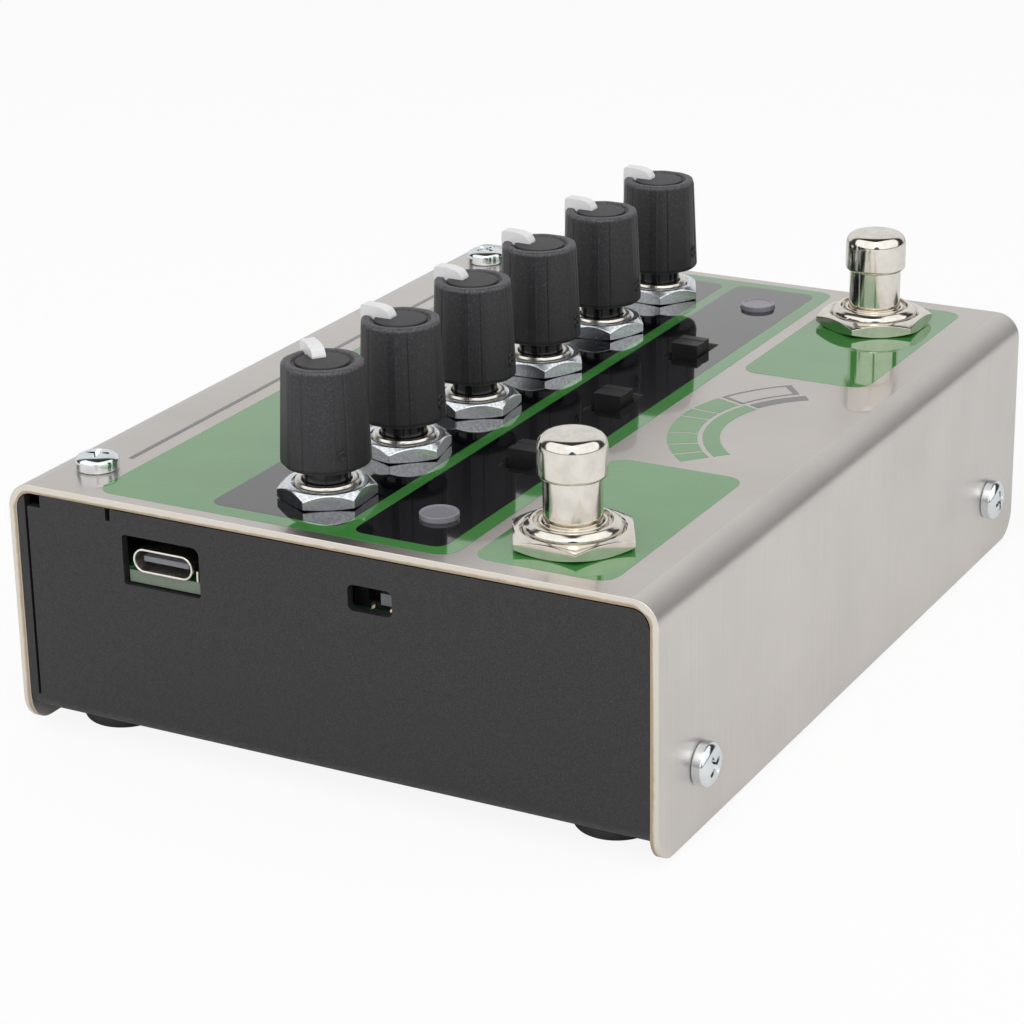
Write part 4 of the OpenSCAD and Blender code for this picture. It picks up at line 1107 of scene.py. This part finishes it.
@dataclass
class Knob:
    """A tapered control knob with soft flats, a ring groove and a white pointer."""

    number: int
    x: float
    turn: float
    foot: float = 39.1
    height: float = 13.3
    low_r: float = 5.75
    top_r: float = 5.2
    flats: int = 6
    flat: float = 0.978
    lip: float = 0.008
    dent: float = 0.016
    lip_at: float = 8.5
    lip_w: float = 1.1
    disc_r: float = 3.45
    groove: float = 0.55
    pointer_w: float = 1.8
    rings: tuple[Pair, ...] = ((2.45, 0.46), (3.3, 0.38))

    def cap(self) -> Form:
        """The turned body: flats shape the wall and fade out over the rounded rim.

        Each land between two flats has a fine lip along one side and a fine groove along the other:
        the radius changes by c exp(-((u - e) / w)^2), u being the angle from the land's middle.

        Returns:
            The body, standing on the XY plane.
        """
        h, low, disc = self.height, self.low_r, self.disc_r
        profile = softened([
            (0, 11.0, 0), (3.05, 11.0, 0), (3.05, 0.5, 0), (3.35, 0.0, 0.2), (low - 0.35, 0.0, 0.3),
            (low, 0.45, 0.35), (self.top_r, h, 1.15), (disc + self.groove, h - 0.02, 0.3),
            (disc + 0.6 * self.groove, h - 0.42, 0.16), (disc, h - 0.4, 0.12),
            (disc - 0.06, h - 0.06, 0.2), (0, h - 0.06, 0)], steps=10)
        step = 360.0 / self.flats
        fine = np.array([6.5, 7.5, 8.0, 8.5, 9.0, 9.5, 10.5])
        edges = np.arange(self.flats)[:, None] * step + step / 2 + np.concatenate([-fine, fine])
        degrees = np.concatenate([np.arange(0, 360.0, 2.5), edges.ravel()])
        a = np.radians(np.unique(np.round(np.mod(degrees, 360.0), 3)))
        u = np.degrees(np.mod(a, math.radians(step))) - step / 2
        ratio = prism_radius(a, self.flats, self.flat, 1.0)
        ratio = ratio + self.lip * np.exp(-((u + self.lip_at) / self.lip_w) ** 2)
        ratio = ratio - self.dent * np.exp(-((u - self.lip_at) / self.lip_w) ** 2)
        r = profile[:, :1]
        share = np.clip((r - disc - self.groove - 0.1) / 0.5, 0, 1)
        return about_z(r * (1 + share * (ratio - 1)), a, profile[:, 1:])

    def mould_mark(self) -> Form:
        """Two small raised rings, one over the other, low on the wall opposite the pointer.

        A ring's points stand (s + t cos b) cos a across and (s + t cos b) sin a up, and t sin b out.

        Returns:
            Both rings.
        """
        a, b = full_turn(28)[None, :], full_turn(10)[:, None]
        marks = []
        for z, size in self.rings:
            wall = self.low_r + (self.top_r - self.low_r) * z / self.height
            across = (size + 0.15 * np.cos(b)) * np.cos(a)
            up = (size + 0.15 * np.cos(b)) * np.sin(a)
            out = wall - across ** 2 / (2 * wall) - 0.17 * np.sin(b)
            marks.append(surface(np.stack([-across, -out, z + up], -1), True))
        return joined(marks)

    def pointer(self) -> Form:
        """The fin: its outline, convex on top, in radius and height, filled and given its width.

        Returns:
            The fin.
        """
        h, out, inner = self.height, self.top_r + 0.25, self.top_r - 0.95
        side = softened([(1.0, h - 0.8, 0), (1.1, h + 0.15, 0.1), (1.6, h + 0.95, 0.5),
                         (2.9, h + 1.32, 0.9), (out - 0.1, h + 1.35, 0.3), (out, h + 0.5, 0.4),
                         (out, h - 3.4, 0.15), (inner, h - 3.4, 0), (inner, h - 0.8, 0)], True, 7)
        slab = plate(side, [], -self.pointer_w / 2, self.pointer_w / 2)
        return Form(slab.points[:, [2, 0, 1]], slab.faces)

    def painted_edge_highlight(self, points: Array) -> Array:
        """A painted highlight: high on the rim, lower along the foot, none elsewhere.

        Args:
            points: places in millimetres.

        Returns:
            The painted highlight's share at each point.
        """
        z = points[:, 2] - self.foot
        r = np.hypot(points[:, 0] - self.x, points[:, 1] - KNOB_Y)
        rim = np.exp(-((z - self.height + 0.15) / 0.35) ** 2) * np.clip((r - self.disc_r) / 0.6, 0, 1)
        return np.clip(rim + 0.35 * np.exp(-(z / 0.4) ** 2), 0, 1)

    def build(self) -> None:
        """Makes the knob and its pointer, both riding on the knob's body."""
        body = Body.KNOB.numbered(self.number)
        at = (self.x, KNOB_Y, self.foot)
        half, h = self.pointer_w / 2 + 0.05, self.height
        slot = block((-half, 0.94, h - 0.8), (half, 6.5, h + 1))
        notch = block((-half, self.top_r - 0.97, h - 3.45), (half, 6.5, h + 1))
        cap = carved(carved(self.cap(), slot), notch) + self.mould_mark()
        # the mark attribute carries the painted highlight on rim and foot
        make_piece(f"knob_cap_{self.number}", cap.placed(at, self.turn), "soft_touch",
                   (body,), body=body, mark=self.painted_edge_highlight, angle=14.0)
        make_piece(f"knob_pointer_{self.number}", self.pointer().placed(at, self.turn),
                   "white_plastic", (f"pointer_{self.number}",), 0.1, body)


@dataclass
class PotHardware:
    """Bushings and nuts of the six rotary controls."""

    bushing_r: float = 4.1
    bore: float = 3.08
    rise: float = 2.5
    across: float = 11.0
    nut_h: float = 2.1
    chamfer: float = 0.85
    plate_half: Pair = (4.9, 5.7)
    nut_turns: tuple[float, ...] = (3.0, 12.0, 5.0, 33.0, 38.0, 27.0)

    def bushing(self) -> Form:
        """An oblong plate and a threaded tube with a chamfered end.

        Returns:
            The bushing, its axis along Z at the origin.
        """
        top, r, b, low = TOP + self.rise, self.bushing_r, self.bore, UNDER - 1
        tube = turned([(b, low, 0), (r, low, 0), (r, UNDER, 0),
                       *thread(r, UNDER + 0.2, top - 0.8, 0.25, 0.12), (r, top - 0.35, 0.05),
                       (r - 0.12, top, 0.1), (b + 0.2, top, 0.08), (b, top - 0.3, 0.06),
                       (b, low, 0)], 4)
        x, y = self.plate_half
        return tube + plate(rounded_box(-x, x, -y, y, 0.4), [ring(0, 0, b)], low, UNDER)

    def build(self) -> None:
        """Places six bushings and six nuts."""
        nut = hex_nut(self.across, self.nut_h, self.bushing_r + 0.05, self.chamfer, under=0.25)
        nuts = joined(nut.placed((x, KNOB_Y, TOP), turn) for x, turn in zip(KNOB_XS, self.nut_turns))
        make_piece("control_bushings", along_x(self.bushing(), KNOB_XS, KNOB_Y),
                   "satin_nickel", ("pot_bushings",))
        make_piece("control_nuts", nuts, "zinc", ("pot_nuts",), 0.1)


@dataclass
class Footswitches:
    """Both latching footswitches: plungers with their caps, bushings and nuts."""

    neck_r: float = 3.65
    cap_r: float = 4.3
    cap_low: float = 42.95
    cap_top: float = 48.3
    bushing_r: float = 6.1
    top: float = 37.4
    plate_half: float = 8.6
    across: float = 14.6
    nut_h: float = 2.0
    nut_bore: float = 6.15
    chamfer: float = 0.68
    nut_turns: Pair = (29.0, 0.0)

    def plunger(self) -> Form:
        """One turned profile: keeper, neck and the rounded cap.

        Returns:
            The plunger, its axis along Z at the origin.
        """
        n, c, low, top = self.neck_r, self.cap_r, self.cap_low, self.cap_top
        return turned([(0, 30.45, 0), (4.5, 30.45, 0.1), (4.5, 31.95, 0.1), (n, 31.95, 0),
                       (n, low, 0.05), (c - 0.25, low, 0.05), (c, low + 0.3, 0.2), (c, top, 1.85),
                       (0, top, 0)], 14, 96)

    def bushing(self) -> Form:
        """A square plate, a tube with a domed end and a ring groove round the neck.

        Returns:
            The bushing, its axis along Z at the origin.
        """
        r, b, low, top = self.bushing_r, self.neck_r + 0.08, UNDER - 1.0, self.top
        tube = turned([(b, low, 0), (r, low, 0), (r, UNDER, 0),
                       *thread(r, UNDER + 0.2, 36.2, 0.3, 0.14),
                       (r, 36.4, 0.2), (6.0, 36.9, 0.5), (5.3, top, 0.5), (4.85, top, 0.15),
                       (4.8, top - 0.7, 0.1), (4.25, top - 0.7, 0.1), (4.2, top - 0.1, 0.1),
                       (b + 0.15, top - 0.1, 0.08), (b, top - 0.3, 0.05), (b, low, 0)], 6, 96)
        half = self.plate_half
        return tube + plate(rounded_box(-half, half, -half, half, 0.5), [ring(0, 0, b)], low, UNDER)

    def build(self) -> None:
        """Makes both plungers, each on its own body, then the bushings and the nuts."""
        for n, x in enumerate(FOOT_XS, 1):
            body = Body.PLUNGER.numbered(n)
            make_piece(f"footswitch_button_{n}", self.plunger().placed((x, FOOT_Y, 0)),
                       "nickel", (body,), body=body, angle=50.0)
        make_piece("footswitch_collars", along_x(self.bushing(), FOOT_XS, FOOT_Y),
                   "nickel", ("footswitch_bushings",))
        nut = hex_nut(self.across, self.nut_h, self.nut_bore, self.chamfer, 144, 0.9)
        nuts = joined(nut.placed((x, FOOT_Y, TOP), turn) for x, turn in zip(FOOT_XS, self.nut_turns))
        make_piece("footswitch_nut_pair", nuts, "nickel", ("footswitch_nuts",), 0.04)


@dataclass
class SlideSwitch:
    """The lever and carrier of one slide switch."""

    number: int
    x: float
    width: float = 4.0
    low: float = 28.0
    top: float = 36.2
    ribs: int = 2
    rib_h: float = 0.1
    carrier: Point = (3.0, 2.55, 1.5)

    def build(self) -> None:
        """A carrier and a lever whose outline in X and Z steps over the ribs; the bevel rounds them."""
        half, pitch = self.width / 2, self.width / (2 * self.ribs - 1)
        x, y, z = self.carrier
        crest = [(-half + k * pitch, self.top - self.rib_h * low)
                 for k in range(1, 2 * self.ribs - 1) for low in ((0, 1) if k % 2 else (1, 0))]
        root = self.low + 1.2
        side = np.array([(-half, root), (-half, self.top), *crest, (half, self.top), (half, root)])
        slab = plate(side, [], -half, half)
        lever = Form(slab.points[:, [0, 2, 1]], slab.faces)
        form = block((-x, -y, self.low), (x, y, self.low + z)) + lever
        body = Body.SLIDER.numbered(self.number)
        make_piece(f"slide_lever_{self.number}", form.placed((self.x, SLIDE_Y, 0)),
                   "black_plastic", (body,), 0.1, body)


@dataclass
class Indicators:
    """Milky lenses of the two indicators."""

    low: float = 26.5
    foot: Pair = (2.9, 27.5)
    radius: float = 2.5
    rise: float = 0.7
    dish: float = 0.12

    def build(self) -> None:
        """A turned lens: a flat disc in a narrow raised lip, over a wider foot."""
        (wide, step), r, top = self.foot, self.radius, TOP + self.rise
        one = turned([(0, self.low, 0), (wide, self.low, 0.1), (wide, step, 0.1), (r, step, 0),
                      (r, top, 0.2), (r - 0.3, top, 0.08), (r - 0.4, top - self.dish, 0.06),
                      (0, top - self.dish, 0)], 7, 64)
        make_piece("indicator_lenses", along_x(one, FOOT_XS, SLIDE_Y), "lens",
                   ("led_lenses",), angle=50.0)


@dataclass
class UsbPort:
    """The drawn shell of the USB port and a pin of the board beside it."""

    front: float = -60.7
    back: float = -53.35
    y: float = 21.65
    low: float = 25.3
    width: float = 8.94
    height: float = 3.26
    wall: float = 0.31
    pin_at: Point = (-60.05, 16.8, 25.1)
    pin_r: float = 0.22
    pin_h: float = 1.6

    def shell(self) -> Form:
        """The wall's outline, depth and inset, carried round a flat oval.

        A point of inset q at angle a stands at the oval's straight half plus (R - q)cos a across and
        (R - q)sin a up.

        Returns:
            The shell.
        """
        depth, t = self.back - self.front, self.wall
        wall = softened([(0.0, 0.0, 0.16), (depth, 0.0, 0.05), (depth, t, 0.05), (0.0, t, 0.16)],
                        True, 6)
        a = full_turn(96) + math.pi / 96
        outer, half = self.height / 2, (self.width - self.height) / 2
        x, inset = wall[:, :1], wall[:, 1:]
        y = np.sign(np.cos(a)) * half + (outer - inset) * np.cos(a)
        z = (outer - inset) * np.sin(a)
        points = np.stack([self.front + x + 0 * a, self.y + y, self.low + outer + z], -1)
        return surface(points, True)

    def build(self) -> None:
        """Makes the shell and a small upright pin beside it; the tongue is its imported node."""
        make_piece("usb_can", self.shell(), "satin_nickel", ("usb_shell",))
        r, h = self.pin_r, self.pin_h
        pin = turned([(0, 0, 0), (r, 0, 0), (r, h, 0.1), (0, h, 0)], 4, 20)
        make_piece("board_pin", pin.placed(self.pin_at), "tinned")


@dataclass
class RearJacks:
    """Threaded bushings, nuts and washers of the two signal jacks."""

    xs: Pair = (-33.0, 33.0)
    z: float = 15.8
    bore: float = 3.25
    radius: float = 4.75
    face: float = 43.55
    reach: float = 49.35
    across: float = 13.0
    nut_h: float = 2.2
    washer_r: float = 7.2
    washer_h: float = 0.5

    def build(self) -> None:
        """Turns a threaded bushing, a nut and a washer and stands them on the rear face."""
        r, b, high = self.radius, self.bore, self.reach - self.face
        collar = turned([(b, 0.0, 0), (r, 0.0, 0), *thread(r, 0.2, high - 0.7, 0.25, 0.14),
                         (r, high - 0.5, 0.05), (r - 0.4, high, 0.1), (b + 0.4, high, 0.1),
                         (b, high - 0.4, 0.1), (b, 0.0, 0)], 4)
        hole, wide, h = r + 0.05, self.washer_r, self.washer_h
        washer = turned([(hole, 0, 0.05), (wide, 0, 0.1), (wide, h, 0.1), (hole, h, 0.05),
                         (hole, 0, 0)])
        nut = hex_nut(self.across, self.nut_h, hole, 0.7)
        for name, form, y, finish, node, bevel in (
                ("jack_collars", collar, self.face, "nickel", "jack_bushings", 0.0),
                ("jack_nut_pair", nut, REAR + h, "nickel", "jack_nuts", 0.06),
                ("jack_washer_pair", washer, REAR, "zinc", "jack_washers", 0.0)):
            # Turning -90 about X takes the form's axis to +Y
            out = form.placed(turn=-90.0, axis="X")
            make_piece(name, along_x(out, self.xs, y, self.z), finish, (node,), bevel)


@dataclass(frozen=True)
class PackedDress:
    """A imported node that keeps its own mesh, and its finish."""

    node: str
    slot: Slot
    finish: str
    upright: str = ""

    def build(self) -> None:
        """Puts the finish on the node and, where wanted, another one on its upright faces."""
        node = frame["nodes"][self.node]
        mesh = node.data
        mesh.materials.clear()
        mesh.materials.append(material(self.finish))
        if self.upright:
            mesh.materials.append(material(self.upright))
            stands = np.abs(vectors(mesh.polygons, "normal")[:, 2]) < 0.5
            mesh.polygons.foreach_set("material_index", stands.astype(np.int32))


PACKED = tuple(PackedDress(*row) for row in (
    ("press_nuts", Slot.ZINC, "zinc"),
    ("main_board", Slot.BOARD, "board", "board_core"),
    ("small_boards", Slot.BOARD, "board", "board_core"),
    ("board_headers", Slot.BLACK, "black_plastic"),
    ("board_chips", Slot.BLACK, "black_plastic"),
    ("capacitors", Slot.CAN, "can"),
    ("usb_tongue", Slot.GREY, "grey_plastic"),
    ("pot_bodies", Slot.PHENOLIC, "phenolic"),
    ("footswitch_bodies", Slot.BLUE, "blue_plastic"),
    ("footswitch_lugs", Slot.TINNED, "tinned"),
    ("slide_frames", Slot.CAN, "can"),
    ("slide_bases", Slot.PHENOLIC, "phenolic"),
    ("led_spacers", Slot.BLACK, "black_plastic"),
    ("side_switch_body", Slot.BLACK, "black_plastic"),
    ("side_switch_legs", Slot.TINNED, "tinned"),
    ("side_switch_actuator", Slot.GREY, "grey_plastic"),
    ("jack_bodies", Slot.BLACK, "black_plastic"),
    ("dc_jack_body", Slot.BLACK, "black_plastic"),
    ("dc_jack_pin", Slot.NICKEL, "nickel"),
    *((f"shaft_{n}", Slot.BLACK, "gloss_black") for n in range(1, len(KNOB_XS) + 1)),
))


# Studio


@dataclass
class Studio:
    """Floor, light and camera; places and sizes are in metres."""

    lens: float = 107.97798
    eye: Point = (-0.35251066, -0.18713858, 0.16974218)
    right: Point = (0.47301077, -0.880920655, -0.015479402)
    down: Point = (-0.322211268, -0.156605992, -0.933624369)
    ahead: Point = (0.820024823, 0.446602019, -0.357918882)
    away: Point = (0.878, 0.478, 0.0)
    bound: Pair = (0.50, 0.66)
    near_light: float = 0.05
    far_light: float = 1.0
    floor_half: float = 6.0
    floor_z: float = -0.0002
    floor_tone: float = 0.92
    floor_glow: float = 0.9
    aim: Point = (0, 0, 0.03)
    softbox: Pair = (2.0, 1.6)
    power: float = 11.5

    def camera(self) -> None:
        """Sets the camera at the measured place; its axes are the measured right, up and back."""
        data = bpy.data.cameras.new("view")
        data.sensor_width, data.lens = 36.0, self.lens
        data.clip_start, data.clip_end = 0.01, 20.0
        data.dof.use_dof = False
        camera = linked("view", data)
        axes = np.eye(4)
        axes[:3] = np.transpose([self.right, np.negative(self.down), np.negative(self.ahead), self.eye])
        camera.matrix_world = Matrix(axes.tolist())
        bpy.context.scene.camera = camera

    def world(self) -> None:
        """White to the eye; as light, white beyond the object and dim overhead and behind."""
        world = bpy.data.worlds.new("studio_air")
        bpy.context.scene.world = world
        n = Nodes(world)
        place, path = (n.add("ShaderNodeTexCoord"), "Generated"), n.add("ShaderNodeLightPath")
        dot = n.add("ShaderNodeVectorMath", {0: place, 1: self.away}, operation="DOT_PRODUCT")
        sockets = {"Value": (dot, "Value"), "From Min": self.bound[0], "From Max": self.bound[1],
                   "To Min": self.near_light, "To Max": self.far_light}
        light = n.add("ShaderNodeMapRange", sockets, interpolation_type="SMOOTHSTEP")
        pick = n.add("ShaderNodeMix", {0: (path, "Is Camera Ray"), 2: light, 3: 1.0})
        n.add("ShaderNodeOutputWorld", {"Surface": n.add("ShaderNodeBackground", {"Strength": pick})})

    def floor(self) -> None:
        """A wide pale floor that keeps the object's shadow."""
        r = Recipe("studio_floor")
        r.base(Base_Color=(*(self.floor_tone,) * 3, 1.0), Roughness=0.9, Specular_IOR_Level=0.2)
        glow = r.add("ShaderNodeEmission", {"Color": (1.0, 1.0, 1.0, 1.0), "Strength": 1.0})
        camera = (r.add("ShaderNodeLightPath"), "Is Camera Ray")
        share = r.add("ShaderNodeMath", {0: camera, 1: self.floor_glow}, operation="MULTIPLY")
        r.feed(r.output, "Surface", r.add("ShaderNodeMixShader", {0: share, 1: r.shader, 2: glow}))
        mesh = bpy.data.meshes.new("studio_floor")
        s, z = self.floor_half, self.floor_z
        mesh.from_pydata([(-s, -s, z), (s, -s, z), (s, s, z), (-s, s, z)], [], [(0, 1, 2, 3)])
        mesh.materials.append(r.material)
        linked("studio_floor", mesh)

    def lamp(self, name: str, at: Point) -> None:
        """A soft rectangular lamp aimed at the object.

        Args:
            name: the lamp's name.
            at: its place.
        """
        data = bpy.data.lights.new(name, "AREA")
        data.shape, data.energy = "RECTANGLE", self.power
        data.size, data.size_y = self.softbox
        lamp = linked(name, data)
        lamp.location = at
        lamp.rotation_euler = (Vector(self.aim) - Vector(at)).to_track_quat("-Z", "Y").to_euler()

    def build(self) -> None:
        """Sets up the whole studio."""
        bpy.context.scene.view_settings.view_transform = "Standard"
        self.camera()
        self.world()
        self.floor()
        self.lamp("softbox_left", (-0.693, 0.297, 0.70))
        self.lamp("softbox_right", (-0.166, -0.723, 0.70))


def main() -> None:
    """Builds every sub-assembly in order, then the studio."""
    logging.basicConfig(level=logging.INFO, format="%(name)s %(message)s")
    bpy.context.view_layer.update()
    Case().build()
    Prints().build()
    Screws().build()
    Feet().build()
    for n, (x, turn) in enumerate(zip(KNOB_XS, KNOB_TURNS), 1):
        Knob(n, x, turn).build()
    PotHardware().build()
    Footswitches().build()
    for n, x in enumerate(SLIDE_XS, 1):
        SlideSwitch(n, x).build()
    Indicators().build()
    UsbPort().build()
    RearJacks().build()
    for dress in PACKED:
        dress.build()
    Studio().build()


if __name__ == "__main__":
    main()
